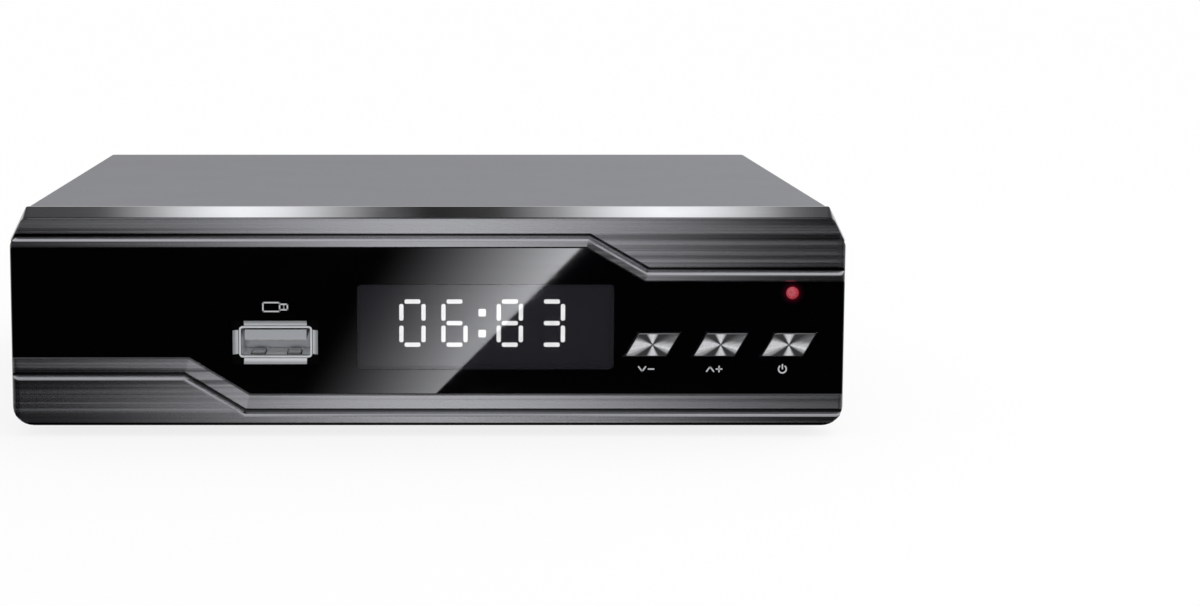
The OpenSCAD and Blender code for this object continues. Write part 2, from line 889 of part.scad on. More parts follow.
// Strokes of a seven-stroke digit as [across, up, is upright], in the usual order a to g
function strokes() =
    let (x = (digit_w - stroke_w) / 2, z = (digit_h - stroke_w) / 2)
    [
        [0, z, false], [x, z / 2, true], [x, -z / 2, true], [0, -z, false],
        [-x, -z / 2, true], [-x, z / 2, true], [0, 0, false]
    ];

module stroke(s) {
    long = s[2] ? digit_h / 2 - 1.75 * stroke_w : digit_w - 2.5 * stroke_w;
    size = s[2] ? [stroke_w, long] : [long, stroke_w];
    translate([s[0], s[1]]) round_rect(size.x, size.y, stroke_w * 0.4);
}

digit_xs = [
    -colon_pitch - digit_pitch, -colon_pitch, colon_pitch, colon_pitch + digit_pitch
];
lit = [
    [0, 1, 2, 3, 4, 5], [0, 2, 3, 4, 5, 6], [0, 1, 2, 3, 4, 5, 6], [0, 1, 2, 3, 6]
];

module on_display(t) {
    y1 = trim_t + module_gap;
    placed() on_panel() slab(y1 - t, y1) translate([digits_x, digits_z]) children();
}

module lit_strokes() {
    color("white") on_display(stroke_rise) {
        for (i = [0:3]) {
            for (s = lit[i]) {
                translate([digit_xs[i], 0]) stroke(strokes()[s]);
            }
        }
        for (z = [-1, 1]) {
            translate([0, z * digit_h * 0.22]) round_rect(dot_w, dot_w, dot_w * 0.15);
        }
    }
}

module dark_strokes() {
    color("#333338") on_display(stroke_rise) for (i = [0:3], s = [0:6]) {
        if (len(search(s, lit[i])) == 0) {
            translate([digit_xs[i], 0]) stroke(strokes()[s]);
        }
    }
}

module status_lamp() {
    tip = trim_t + lamp_flange_t + led_gap;
    color("#d83a46") placed() on_panel() {
        rod(lamp_x, lamp_z, 2 * led_r, tip + led_r, control_y);
        translate([lamp_x, tip + led_r, lamp_z]) sphere(led_r);
        rod(lamp_x, lamp_z, 2 * (led_r + led_rim), control_y - led_rim_t, control_y);
    }
}

module remote_receiver() {
    front = carrier_y + eye_room;
    color("#1a1a1e") placed() on_panel() {
        slab(front, control_y) translate([eye_x, eye_z]) square([eye_w, eye_h], center = true);
        translate([eye_x, front, eye_z]) sphere(eye_r);
    }
}

module board_link() {
    y0 = control_y + board_t;
    l = board_y + link_in - y0;
    color("#e8e4d8") placed() translate([display_x, y0, board_top]) difference() {
        translate([-link_w / 2, 0, 0]) cube([link_w, l, link_h]);
        for (i = [0:link_pins - 1]) {
            translate([(i - (link_pins - 1) / 2) * link_pitch, link_slot_y, link_h - link_slot_d])
                translate([-link_pin_w / 2, 0, 0]) cube([link_pin_w, link_in, link_h]);
        }
    }
}

// One lip of the storage socket's shell, flared outwards over a span
module lip(span, run) {
    l = port_lip_l;
    edge = port_lip_fold;
    translate([-span / 2, 0, run]) rotate([90, 0, 90]) linear_extrude(span) polygon([
        [0, port_flare], [edge, port_flare], [l + edge, 0], [l + edge, -port_t], [l, -port_t]
    ]);
}

module storage_shell() {
    spring_y1 = port_spring_y + port_spring_l;
    color("#a9abae") placed() on_panel() translate([port_x, port_y, port_z]) {
        difference() {
            slab(port_lip_l - port_lip_fold, port_l) round_rect(port_w, port_h, port_r);
            slab(0, port_l - port_t) round_rect(port_in_w, port_in_h, port_r - port_t);
            for (x = [-port_spring_x, port_spring_x]) {
                translate([x - port_spring_w / 2, port_spring_y, -port_h])
                    cube([port_spring_w, port_spring_l, 2 * port_h]);
            }
        }
        for (r = [0, 180]) {
            rotate([0, r, 0]) lip(port_lip_w, port_h / 2);
        }
        for (r = [90, -90]) {
            rotate([0, r, 0]) lip(port_lip_h, port_w / 2);
        }
        for (x = [-port_spring_x, port_spring_x]) {
            translate([x, spring_y1 + thread_room, -port_h / 2]) rotate([-4, 0, 0])
                translate([-port_spring_w / 2 + port_spring_t, -port_spring_l, 0])
                    cube([port_spring_w - 2 * port_spring_t, port_spring_l, port_spring_t]);
        }
    }
}

module storage_tongue() {
    w = port_in_w - 2 * tongue_side;
    in_w = port_in_w - 2 * tongue_gap;
    in_h = port_in_h - 2 * tongue_gap;
    color("#8f9196") placed() on_panel() translate([port_x, port_y, port_z]) {
        translate([-w / 2, tongue_y, in_h / 2 - tongue_top - tongue_t]) cube([w, tongue_l, tongue_t]);
        slab(tongue_l, port_l - port_t) round_rect(in_w, in_h, port_r - port_t);
    }
}

module storage_contacts() {
    z = port_in_h / 2 - tongue_gap - tongue_top - tongue_t - contact_t;
    color("#c9a24a") placed() on_panel() translate([port_x, port_y, port_z]) for (x = contact_xs) {
        translate([x - contact_w / 2, tongue_y + contact_in, z])
            cube([contact_w, contact_l, contact_t]);
    }
}

// Outline of the cover in x and z, its bottom edge level with the base
module cover_outline(t) {
    w = case_hw - t;
    top = panel_top - t;
    r = bend_r - t;
    translate([-w, foot_h]) square([2 * w, top - r - foot_h]);
    translate([-w + r, foot_h]) square([2 * (w - r), top - foot_h]);
    for (x = [-1, 1]) {
        translate([x * (w - r), top - r]) circle(r);
    }
}

module top_cover() {
    slots_y = (side_y + rear_y) / 2;
    slots_z = (pan_top + flange_h + panel_top) / 2;
    color("#8e8f93") placed() difference() {
        union() {
            slab(side_y, rear_y) cover_outline(0);
            slab(cover_y, side_y + eps) intersection() {
                cover_outline(0);
                translate([-far, panel_top - sheet_t]) square([2 * far, sheet_t]);
            }
        }
        slab(side_y - eps, rear_y + 1) union() {
            cover_outline(sheet_t);
            translate([-case_hw + sheet_t, -1]) square([2 * (case_hw - sheet_t), foot_h + 2]);
        }
        for (y = cover_screw_ys) {
            translate([-hw, y, cover_screw_z]) rotate([0, 90, 0])
                cylinder(d = screw_d + screw_room, h = body_w);
        }
        for (i = [0:side_slots - 1]) {
            translate([-hw, slots_y + (i - (side_slots - 1) / 2) * side_pitch, slots_z])
                rotate([0, 90, 0]) linear_extrude(body_w) round_rect(side_slot_h, slot_w, slot_w / 2 - eps);
        }
    }
}

module base_pan() {
    y1 = rear_in;
    color("#b4b6b9") placed() difference() {
        union() {
            translate([-pan_hw, panel_l, foot_h]) cube([2 * pan_hw, y1 - panel_l, sheet_t]);
            for (x = [-pan_hw, pan_hw - sheet_t]) {
                translate([x, side_y + flange_in, foot_h])
                    cube([sheet_t, y1 - side_y - 2 * flange_in - sheet_t, flange_h]);
            }
            for (y = [panel_l, y1 - sheet_t]) {
                translate([-pan_hw + flange_in, y, foot_h])
                    cube([2 * (pan_hw - flange_in), sheet_t, end_flange_h + sheet_t]);
            }
        }
        for (y = cover_screw_ys) {
            translate([-hw, y, cover_screw_z]) rotate([0, 90, 0])
                cylinder(d = screw_d + screw_room, h = body_w);
        }
        for (x = bezel_screw_xs) {
            rod(x, end_screw_z, screw_d + screw_room, panel_l - 1, panel_l + sheet_t + 1);
        }
        for (x = rear_screw_xs) {
            rod(x, end_screw_z, screw_d + screw_room, y1 - sheet_t - 1, y1 + 1);
        }
        for (i = [0:base_slots - 1]) {
            translate([(i - (base_slots - 1) / 2) * base_pitch, (panel_l + y1) / 2, 0])
                linear_extrude(far) round_rect(slot_w, base_slot_l, slot_w / 2 - eps);
        }
    }
}

module rear_panel() {
    top = panel_top - sheet_t - sheet_gap;
    color("#b4b6b9") placed() difference() {
        translate([-pan_hw, rear_in, foot_h]) cube([2 * pan_hw, sheet_t, top - foot_h]);
        for (x = rear_screw_xs) {
            rod(x, end_screw_z, screw_d + screw_room, rear_in - 1, rear_y + 1);
        }
        for (x = aerial_xs) {
            rod(x, socket_z, aerial_d + 2 * hole_room, rear_in - 1, rear_y + 1);
        }
        for (x = phono_xs) {
            rod(x, socket_z, collar_d + 2 * hole_room, rear_in - 1, rear_y + 1);
        }
        slab(rear_in - 1, rear_y + 1) {
            translate([picture_x, picture_z])
                round_rect(picture_w + 2 * hole_room, picture_h + 2 * hole_room, 0.5);
            translate([power_x, board_top + inlet_h / 2])
                square([inlet_w + 2 * hole_room, inlet_h + 2 * hole_room], center = true);
        }
    }
}

module rubber_feet() {
    taper = foot_taper;
    xs = [-case_hw + foot_in, case_hw - foot_in];
    ys = [side_y + foot_in, rear_y - foot_in];
    color("#1b1b1c") placed() for (x = xs, y = ys) {
        translate([x, y, 0]) rotate_extrude() polygon([
            [0, 0], [foot_d / 2 - taper, 0], [foot_d / 2, taper], [foot_d / 2, foot_h], [0, foot_h]
        ]);
    }
}

// A screw along +Z: its head stands below zero and its thread above
module screw(l) {
    d = screw_d;
    hd = head_d;
    hh = head_h;
    difference() {
        rotate_extrude() polygon([
            [0, -hh], [hd / 2 - head_round, -hh], [hd / 2, -hh + head_round], [hd / 2, 0],
            [d / 2, 0], [d / 2, l], [0, l]
        ]);
        for (a = [0, 90]) {
            rotate([0, 0, a]) translate([-drive_w / 2, -drive_t / 2, -2 * hh])
                cube([drive_w, drive_t, hh + drive_d]);
        }
    }
}

module cover_screws() {
    color("#8a8d91") placed() for (y = cover_screw_ys, s = [-1, 1]) {
        translate([s * case_hw, y, cover_screw_z]) rotate([0, -90 * s, 0]) screw(cover_screw_l);
    }
}

module panel_screws() {
    color("#8a8d91") placed() for (x = rear_screw_xs) {
        translate([x, rear_y, end_screw_z]) rotate([90, 0, 0]) screw(cover_screw_l);
    }
}

module bezel_screws() {
    color("#8a8d91") placed() for (x = bezel_screw_xs) {
        translate([x, panel_l + sheet_t, end_screw_z]) rotate([90, 0, 0])
            screw(sheet_t + panel_l - carrier_y);
    }
}

module board_pillars() {
    color("#b9bbbe") placed() for (p = board_screw_pts) {
        translate([p.x, p.y, pan_top]) difference() {
            cylinder(d = pillar_d, h = board_top - board_t - pan_top);
            translate([0, 0, pillar_floor]) cylinder(d = screw_d + thread_room, h = far);
        }
    }
}

module board_screws() {
    color("#8a8d91") placed() for (p = board_screw_pts) {
        translate([p.x, p.y, board_top]) rotate([180, 0, 0]) screw(board_t + board_screw_l);
    }
}

module main_board() {
    color("#1c6137") placed() difference() {
        union() {
            translate([-board_hw, board_y, board_top - board_t])
                cube([2 * board_hw, board_end - board_y, board_t]);
            translate([port_x - tab_hw, tab_y, board_top - board_t])
                cube([2 * tab_hw, board_y - tab_y + 1, board_t]);
        }
        for (p = board_screw_pts) {
            translate([p.x, p.y, 0]) cylinder(d = screw_d + screw_room, h = far);
        }
    }
}

module processor() {
    color("#1d1e21") placed() block(chip_pos, board_top, [chip_w, chip_w, chip_t]);
}

module thermal_pad() {
    color("#9aa0b8") placed()
        block(chip_pos, board_top + chip_t, [chip_w - 2 * pad_in, chip_w - 2 * pad_in, pad_t]);
}

module heat_sink() {
    pitch = (sink_w - fin_t) / (sink_fins - 1);
    z0 = board_top + chip_t + pad_t;
    color("#2b2d30") placed() {
        block(chip_pos, z0, [sink_w, sink_w, sink_base]);
        for (i = [0:sink_fins - 1]) {
            block(
                chip_pos + [(i - (sink_fins - 1) / 2) * pitch, 0], z0 + sink_base - eps,
                [fin_t, sink_w, sink_h - sink_base]
            );
        }
    }
}

module memory_chip() {
    color("#1d1e21") placed() block(memory_pos, board_top, memory_size);
}

module flash_chip() {
    color("#1d1e21") placed() block(flash_pos, board_top, flash_size);
}

module crystal() {
    color("#c7c9cc") placed() translate([crystal_pos.x, crystal_pos.y, board_top])
        linear_extrude(crystal_size.z)
            round_rect(crystal_size.x, crystal_size.y, crystal_size.x / 2 - eps);
}

module regulators() {
    color("#1d1e21") placed() for (c = coils) {
        block(board_place(c) + [regulator_gap, 0], board_top, regulator_size);
    }
}

module inductors() {
    color("#6a6258") placed() for (c = coils) {
        p = board_place(c);
        block(p, board_top, [coil_w, coil_w, coil_base_t]);
        translate([p.x, p.y, board_top]) {
            cylinder(d = coil_core_d, h = coil_h);
            translate([0, 0, coil_h - coil_cap_t]) cylinder(d = coil_w, h = coil_cap_t);
        }
    }
}

module capacitors() {
    color("#22345c") placed() for (c = cans) {
        p = board_place(c);
        translate([p.x, p.y, board_top]) cylinder(d = c[3], h = c[4] - can_cap);
    }
}

module capacitor_tops() {
    color("#c6c8cb") placed() for (c = cans) {
        p = board_place(c);
        translate([p.x, p.y, board_top + c[4] - can_cap]) cylinder(d = c[3] - 2 * can_rim, h = can_cap);
    }
}

module small_chips() {
    color("#4a4038") placed() for (r = chip_rows, i = [0:5]) {
        step = [cos(r[1]), sin(r[1])] * chip_row_pitch * i;
        block(r[0] + step, board_top, small_size);
    }
}

module tuner_shield() {
    p = [tuner_x, board_end - tuner_l / 2];
    color("#c3c5c7") placed() {
        block(p, board_top, [tuner_w, tuner_l, tuner_h - tuner_lid_t]);
        block(
            p, board_top + tuner_h - tuner_lid_t,
            [tuner_w - 2 * tuner_lid_in, tuner_l - 2 * tuner_lid_in, tuner_lid_t]
        );
    }
}

// A hollow round socket along +Y: a wide base from the tuner to the panel, then a tube to its mouth
module socket_tube(x, d, bore) {
    difference() {
        union() {
            rod(x, socket_z, aerial_d, board_end, rear_y);
            rod(x, socket_z, d, rear_y - eps, socket_out);
        }
        rod(x, socket_z, bore, rear_y, socket_out + 1);
    }
}

module aerial_socket() {
    color("#c9ccd0") placed() socket_tube(aerial_xs[0], aerial_d, aerial_bore);
}

module aerial_core() {
    x = aerial_xs[0];
    color("#e6e2d4") placed() difference() {
        union() {
            rod(x, socket_z, aerial_bore - 2 * core_gap, rear_y, rear_y + core_base);
            rod(x, socket_z, aerial_core_d, rear_y + core_base - eps, socket_out - aerial_core_in);
        }
        rod(x, socket_z, aerial_core_bore, rear_y + core_base, socket_out);
    }
}

module loop_sleeve() {
    color("#c9ccd0") placed() socket_tube(aerial_xs[1], loop_d, loop_d - 2 * loop_wall);
}

module loop_core() {
    x = aerial_xs[1];
    color("#d8d2bf") placed() {
        rod(x, socket_z, loop_d - 2 * (loop_wall + core_gap), rear_y, rear_y + core_base);
        rod(x, socket_z, loop_pin_d, rear_y + core_base - eps, socket_out - loop_pin_in);
    }
}

module picture_outline(g) {
    w = picture_w / 2 + g;
    h = picture_h / 2 + g;
    polygon([
        [-w, h], [-w, -h * 0.35], [-w * 0.84, -h], [w * 0.84, -h], [w, -h * 0.35], [w, h]
    ]);
}

module picture_shell() {
    y1 = rear_y + picture_out;
    color("#b4b6b9") placed() difference() {
        slab(y1 - picture_l, y1) translate([picture_x, picture_z]) picture_outline(0);
        slab(y1 - picture_l + picture_t, y1 + 1)
            translate([picture_x, picture_z]) picture_outline(-picture_t);
    }
}

module picture_tongue() {
    y1 = rear_y + picture_out;
    back = y1 - picture_mouth_l;
    color("#17181a") placed() translate([picture_x, 0, picture_z]) {
        slab(y1 - picture_l + picture_t, back) picture_outline(-picture_t - picture_room);
        translate([-picture_tongue_w / 2, back - eps, picture_room])
            cube([picture_tongue_w, picture_mouth_l - picture_tongue_in + eps, picture_tongue_t]);
    }
}

module phono_block() {
    y1 = rear_in;
    color("#1a1b1d") placed() difference() {
        block(
            [phono_x, y1 - phono_body_l / 2], board_top, [phono_block_w, phono_body_l, phono_body_h]
        );
        for (x = [-0.5, 0.5]) {
            block(
                [phono_x + x * phono_pitch, y1], board_top,
                [phono_slot_w, 2 * phono_slot_l, phono_body_h + 1]
            );
        }
    }
}

// The coloured collar of a phono socket, with its insulating core
module collar(x, paint) {
    color(paint) placed() {
        difference() {
            rod(x, socket_z, collar_d, rear_in, rear_y + collar_l);
            rod(x, socket_z, phono_base_d + 2 * phono_gap, rear_in - 1, socket_out);
        }
        difference() {
            union() {
                rod(x, socket_z, phono_base_d - 2 * (phono_wall + phono_gap), rear_in, phono_shoulder);
                rod(
                    x, socket_z, phono_d - 2 * (phono_wall + phono_gap),
                    phono_shoulder - eps, socket_out - phono_core_in
                );
            }
            rod(x, socket_z, phono_bore, rear_in + phono_bore_in, socket_out);
        }
    }
}

module video_collar() {
    collar(phono_xs[2], "#e2b821");
}

module left_collar() {
    collar(phono_xs[1], "#e9e9e6");
}

module right_collar() {
    collar(phono_xs[0], "#b9252b");
}

module phono_rings() {
    color("#cdd0d4") placed() for (x = phono_xs) {
        difference() {
            union() {
                rod(x, socket_z, phono_base_d, rear_in, rear_y + collar_l + eps);
                rod(x, socket_z, phono_d, rear_y + collar_l, socket_out);
            }
            rod(x, socket_z, phono_base_d - 2 * phono_wall, rear_in - 1, socket_out + 1);
            rod(x, socket_z, phono_d - 2 * phono_wall, phono_shoulder - eps, socket_out + 1);
        }
    }
}

module power_inlet() {
    y1 = rear_y + inlet_out;
    z = board_top + inlet_h / 2;
    color("#17181a") placed() {
        difference() {
            block([power_x, y1 - inlet_l / 2], board_top, [inlet_w, inlet_l, inlet_h]);
            rod(power_x, z, power_bore, y1 - inlet_depth, y1 + 1);
        }
        rod(power_x, z, power_pin_d, y1 - inlet_depth - eps, y1 - inlet_pin_in);
    }
}

front_bezel();
upper_trim();
lower_trim();
bright_strip();
front_window();
display_filter();
lamp_lens();
channel_down_key();
channel_up_key();
standby_key();
channel_down_plunger();
channel_up_plunger();
standby_plunger();
switch_housings();
switch_terminals();
control_board();
control_board_screws();
display_module();
lit_strokes();
dark_strokes();
status_lamp();
remote_receiver();
board_link();
storage_shell();
storage_tongue();
storage_contacts();
top_cover();
base_pan();
rear_panel();
rubber_feet();
cover_screws();
panel_screws();
bezel_screws();
board_pillars();
board_screws();
main_board();
processor();
thermal_pad();
heat_sink();
memory_chip();
flash_chip();
crystal();
regulators();
inductors();
capacitors();
capacitor_tops();
small_chips();
tuner_shield();
aerial_socket();
aerial_core();
loop_sleeve();
loop_core();
picture_shell();
picture_tongue();
phono_block();
video_collar();
left_collar();
right_collar();
phono_rings();
power_inlet();
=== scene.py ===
import math

import bmesh
import bpy
from bpy.props import FloatProperty, FloatVectorProperty, PointerProperty
from bpy.types import Operator, Panel, PropertyGroup
from mathutils import Matrix, Vector


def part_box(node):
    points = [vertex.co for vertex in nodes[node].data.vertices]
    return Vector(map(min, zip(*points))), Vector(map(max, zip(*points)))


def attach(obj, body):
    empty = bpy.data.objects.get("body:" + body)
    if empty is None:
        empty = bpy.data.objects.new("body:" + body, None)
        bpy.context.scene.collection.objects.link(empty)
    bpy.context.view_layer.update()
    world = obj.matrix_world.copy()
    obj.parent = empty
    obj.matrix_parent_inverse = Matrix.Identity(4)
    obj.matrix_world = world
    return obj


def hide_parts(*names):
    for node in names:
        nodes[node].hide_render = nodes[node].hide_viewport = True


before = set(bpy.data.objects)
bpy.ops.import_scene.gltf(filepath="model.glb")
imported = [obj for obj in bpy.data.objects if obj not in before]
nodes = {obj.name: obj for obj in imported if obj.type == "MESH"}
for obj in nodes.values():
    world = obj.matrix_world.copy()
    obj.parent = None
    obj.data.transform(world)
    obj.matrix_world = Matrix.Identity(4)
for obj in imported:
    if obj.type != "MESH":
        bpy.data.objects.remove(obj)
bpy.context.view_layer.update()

bl_info = {
    "name": "Television receiver dressing",
    "version": (1, 0, 0),
    "blender": (4, 5, 0),
    "location": "View3D > Sidebar > Receiver",
    "description": "Finishes, printed marks, keys and studio for a small set-top receiver",
    "category": "Object",
}

MM = 0.001


def middle_of(name):
    """The middle of a node's box."""
    low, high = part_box(name)
    return (low + high) / 2


# Places that come from the frame
window_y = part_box("front_window")[0].y
rear_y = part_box("rear_panel")[1].y
panel_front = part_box("upper_trim")[0].y
panel_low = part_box("lower_trim")[0].z
lamp_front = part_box("lamp_lens")[0].y
lamp_middle = middle_of("lamp_lens")

# From a drawing of across, up and rise to the front window and to the rear panel
ON_FRONT = Matrix(((1, 0, 0, 0), (0, 0, -1, window_y), (0, 1, 0, 0), (0, 0, 0, 1)))
ON_REAR = Matrix(((-1, 0, 0, 0), (0, 0, 1, rear_y), (0, 1, 0, 0), (0, 0, 0, 1)))

# Each trim's groove in millimetres: the ends of its slope, the height of the trim's window edge before
# and after the slope, how far above that edge the bed still has painted light and already painted shade,
# and that light's level
GROOVES = ((28.4, 39.0, 34.2, 28.1, 1.95, 2.3, 0.8), (-42.9, -32.0, 14.35, 7.7, -3.4, -3.1, 0.25))
BETWEEN_GROOVES = 21 * MM
# Depths over which the grooves' beds take their painted light and shade
GROOVE_BED = (0.66 * MM, 0.69 * MM)
# Heights over the panel's foot where the painted shade along the lower trim's bottom edge fades out
PAINTED_HEM_SHADE = (panel_low + 0.48 * MM, panel_low + 0.58 * MM)

# Sizes that the keys' caps share with the CAD keys
KEY_LEAN = 2.5 / 4.27
KEY_FLANGE = 0.6 * MM
KEY_FLANGE_IN = 2.7 * MM
KEY_FLANGE_T = 0.8 * MM
KEY_STEM_R = 2 * MM
# How far a cap's face block and its stem reach into its flange
KEY_FACE_SINK = 0.2 * MM
KEY_STEM_SINK = 0.1 * MM
KEY_SMOOTH_AREA = 1.6 * MM * MM
TOUCHING = 1e-7

# The storage shell's flare, and the foam round it
SHELL_FLARE = 1.05 * MM
FOAM_IN = 1.35 * MM
FOAM_T = 0.6 * MM
FOAM_PAST_FLARE = 0.25 * MM
FOAM_HOLE_R = 0.7 * MM
FOAM_EDGE_R = 0.6 * MM

# A chip's legs: the first one from the chip's end, the sheet, and the feet over the chip's underside
LEG_MARGIN = 0.5 * MM
LEG_SHEET_T = 0.1 * MM
LEG_FOOT = 0.12 * MM

# The camera's shift, in shares of the picture's width, that frames the receiver as the photograph does
SHIFT_X = 0.1436
SHIFT_Y = -0.09
SHEET_Z = 0.001


def tint(code):
    """Linear colour of a six-figure paint code."""
    parts = [int(code[i:i + 2], 16) / 255 for i in (0, 2, 4)]
    return tuple(c / 12.92 if c <= 0.04045 else ((c + 0.055) / 1.055) ** 2.4 for c in parts)


def paint(name, description, code):
    """Property that holds a colour."""
    return FloatVectorProperty(
        name=name, description=description, default=tint(code), subtype="COLOR", size=3, min=0, max=1
    )


def amount(name, description, default, unit="LENGTH"):
    """Property that holds a length in metres, or an amount in another unit."""
    return FloatProperty(
        name=name, description=description, default=default, min=0, precision=5, unit=unit
    )


class ReceiverColours(PropertyGroup):
    """Colours of the receiver's finishes"""

    carrier: paint("Carrier", "Moulded carrier behind the trims", "18181b")
    trim: paint("Trim", "Brushed metal foil above and below the window", "c6c7cc")
    strip: paint("Bright strip", "Polished strip along the top edge", "e6e7ea")
    window: paint("Window", "Black gloss of the front window", "020203")
    smoke: paint("Clock filter", "Smoked filter in front of the clock", "28272c")
    digits: paint("Digits", "Lit strokes of the clock", "ffffff")
    lamp: paint("Lamp", "Lens of the small lamp", "b43c48")
    key: paint("Keys", "Spun metal faces of the keys", "e4e5e8")
    marks: paint("Printed marks", "Symbols printed on the window", "b9babd")
    socket: paint("Storage socket", "Plated shell of the storage socket", "9a9c9f")
    cover: paint("Cover", "Satin paint of the steel cover", "84858a")
    steel: paint("Base steel", "Zinc plating of the base", "b1b5b8")
    board: paint("Boards", "Solder mask of the circuit boards", "1d6338")
    rubber: paint("Feet", "Rubber of the feet", "161617")
    video: paint("Picture collar", "Collar of the picture phono socket", "e3b81c")
    left: paint("Left collar", "Collar of the left sound socket", "dcdcd8")
    right: paint("Right collar", "Collar of the right sound socket", "b81f26")


class ReceiverSizes(PropertyGroup):
    """Sizes of the pieces that the dressing adds"""

    print_rise: amount("Print rise", "How far the printed marks stand on the window", 0.02 * MM)
    print_line: amount("Print line", "Width of a line in the printed marks", 0.26 * MM)
    key_mark: amount("Key mark", "Height of the marks below the keys", 1.4 * MM)
    key_mark_left: amount("Key mark place", "From the middle of a key left to its mark", 1.0 * MM)
    key_mark_drop: amount("Key mark drop", "From the middle of a key down to its mark", 4.5 * MM)
    port_mark: amount("Socket mark", "Height of the mark above the storage socket", 2.0 * MM)
    port_mark_rise: amount("Socket mark rise", "From the middle of the socket to its mark", 6.4 * MM)
    rear_line: amount("Rear line", "Width of a line in the marks on the rear panel", 0.3 * MM)
    rear_rise: amount("Rear mark rise", "From the top of the aerial socket to the marks", 4.2 * MM)
    key_round: amount("Key rounding", "Rounding of the upright edges of a key", 0.3 * MM)
    key_chamfer: amount("Key chamfer", "Bevel round the face of a key", 0.2 * MM)
    leg_wide: amount("Leg width", "Width of a chip's legs", 0.28 * MM)


class ReceiverStudio(PropertyGroup):
    """Camera and light"""

    camera_back: amount("Camera distance", "From the front panel to the camera", 390.2 * MM)
    camera_high: amount("Camera height", "Height of the camera over the floor", 85.5 * MM)
    camera_tilt: amount("Camera tilt", "How far the camera looks down", math.radians(6.10), "ROTATION")
    lens: amount("Lens", "Focal length", 66.0, "CAMERA")
    top_light: amount("Top light", "Power of the soft lamp overhead", 1.1, "POWER")
    front_light: amount("Front light", "Power of the soft lamp in front", 3.0, "POWER")
    socket_light: amount("Socket light", "Power of the small lamp for the storage socket", 4.2, "POWER")
    sky: amount("Room light", "Level of the even light all round", 0.68, "NONE")
    floor: paint("Floor", "Pale floor", "fafafa")


class Output:
    """An output of a node that sums can be written with."""

    def __init__(self, wiring, socket):
        self.wiring = wiring
        self.socket = socket

    def __add__(self, other):
        return self.wiring.math("ADD", self, other)

    def __sub__(self, other):
        return self.wiring.math("SUBTRACT", self, other)

    def __mul__(self, other):
        return self.wiring.math("MULTIPLY", self, other)

    def __truediv__(self, other):
        return self.wiring.math("DIVIDE", self, other)

    def __abs__(self):
        return self.wiring.math("ABSOLUTE", self)


class Wiring:
    """Adds nodes to a tree and joins them."""

    def __init__(self, tree):
        self.tree = tree

    def feed(self, socket, value):
        """Gives an input a link, a paint code, a colour or a number."""
        value = getattr(value, "socket", value)
        if isinstance(value, bpy.types.NodeSocket):
            self.tree.links.new(value, socket)
            return
        if isinstance(value, str):
            value = tint(value)
        if socket.type == "RGBA" and len(value) == 3:
            value = (*value, 1)
        socket.default_value = value

    def node(self, kind, settings=None, inputs=None):
        """Adds a node with its settings and inputs."""
        made = self.tree.nodes.new("ShaderNode" + kind)
        for key, value in (settings or {}).items():
            setattr(made, key, value)
        for key, value in (inputs or {}).items():
            self.feed(made.inputs[key], value)
        return made

    def get(self, output, kind, settings=None, inputs=None):
        """Adds a node and gives one of its outputs."""
        return Output(self, self.node(kind, settings, inputs).outputs[output])

    def named(self, node):
        """A node's outputs by their names."""
        return {socket.name: Output(self, socket) for socket in node.outputs}

    def math(self, operation, *values):
        """Adds a sum on numbers."""
        return self.get(0, "Math", {"operation": operation}, dict(enumerate(values)))

    def measure(self, operation, *vectors):
        """Adds a sum on vectors that gives a number."""
        return self.get("Value", "VectorMath", {"operation": operation}, dict(enumerate(vectors)))

    def scaled(self, vector, scale):
        """Scales a vector by a number or by one number for each axis."""
        if isinstance(scale, tuple):
            return self.get(0, "VectorMath", {"operation": "MULTIPLY"}, {0: vector, 1: scale})
        return self.get(0, "VectorMath", {"operation": "SCALE"}, {0: vector, "Scale": scale})

    def mix(self, factor, low, high):
        """Blends two colours."""
        return self.get(2, "Mix", {"data_type": "RGBA"}, {0: factor, 6: low, 7: high})

    def noise(self, vector, scale, detail=2.0, roughness=0.5):
        """Adds soft noise from 0 to 1."""
        inputs = {"Vector": vector, "Scale": scale, "Detail": detail, "Roughness": roughness}
        return self.get("Fac", "TexNoise", None, inputs)

    def remap(self, value, low, high, new_low=0.0, new_high=1.0):
        """Moves a range of numbers smoothly to another range."""
        ends = dict(enumerate((value, low, high, new_low, new_high)))
        return self.get(0, "MapRange", {"interpolation_type": "SMOOTHSTEP"}, ends)

    def ramp(self, value, *stops):
        """Adds a colour ramp of stops, each a place with a paint code or a level."""
        made = self.node("ValToRGB", None, {0: value})
        points = made.color_ramp.elements
        while len(points) < len(stops):
            points.new(0.5)
        for point, (place, colour) in zip(points, stops):
            point.position = place
            parts = tint(colour) if isinstance(colour, str) else [colour] * 3
            point.color = (*parts, 1)
        return Output(self, made.outputs["Color"])

    def split(self, vector):
        """The three parts of a vector."""
        return [Output(self, part) for part in self.node("SeparateXYZ", None, {0: vector}).outputs]

    def join(self, x, y=0.0, z=0.0):
        """A vector of three parts."""
        return self.get(0, "CombineXYZ", None, {0: x, 1: y, 2: z})

    def here(self):
        """The place on the piece."""
        return self.get("Object", "TexCoord")

    def normal(self):
        """The way that the surface faces."""
        return self.get("Normal", "NewGeometry")


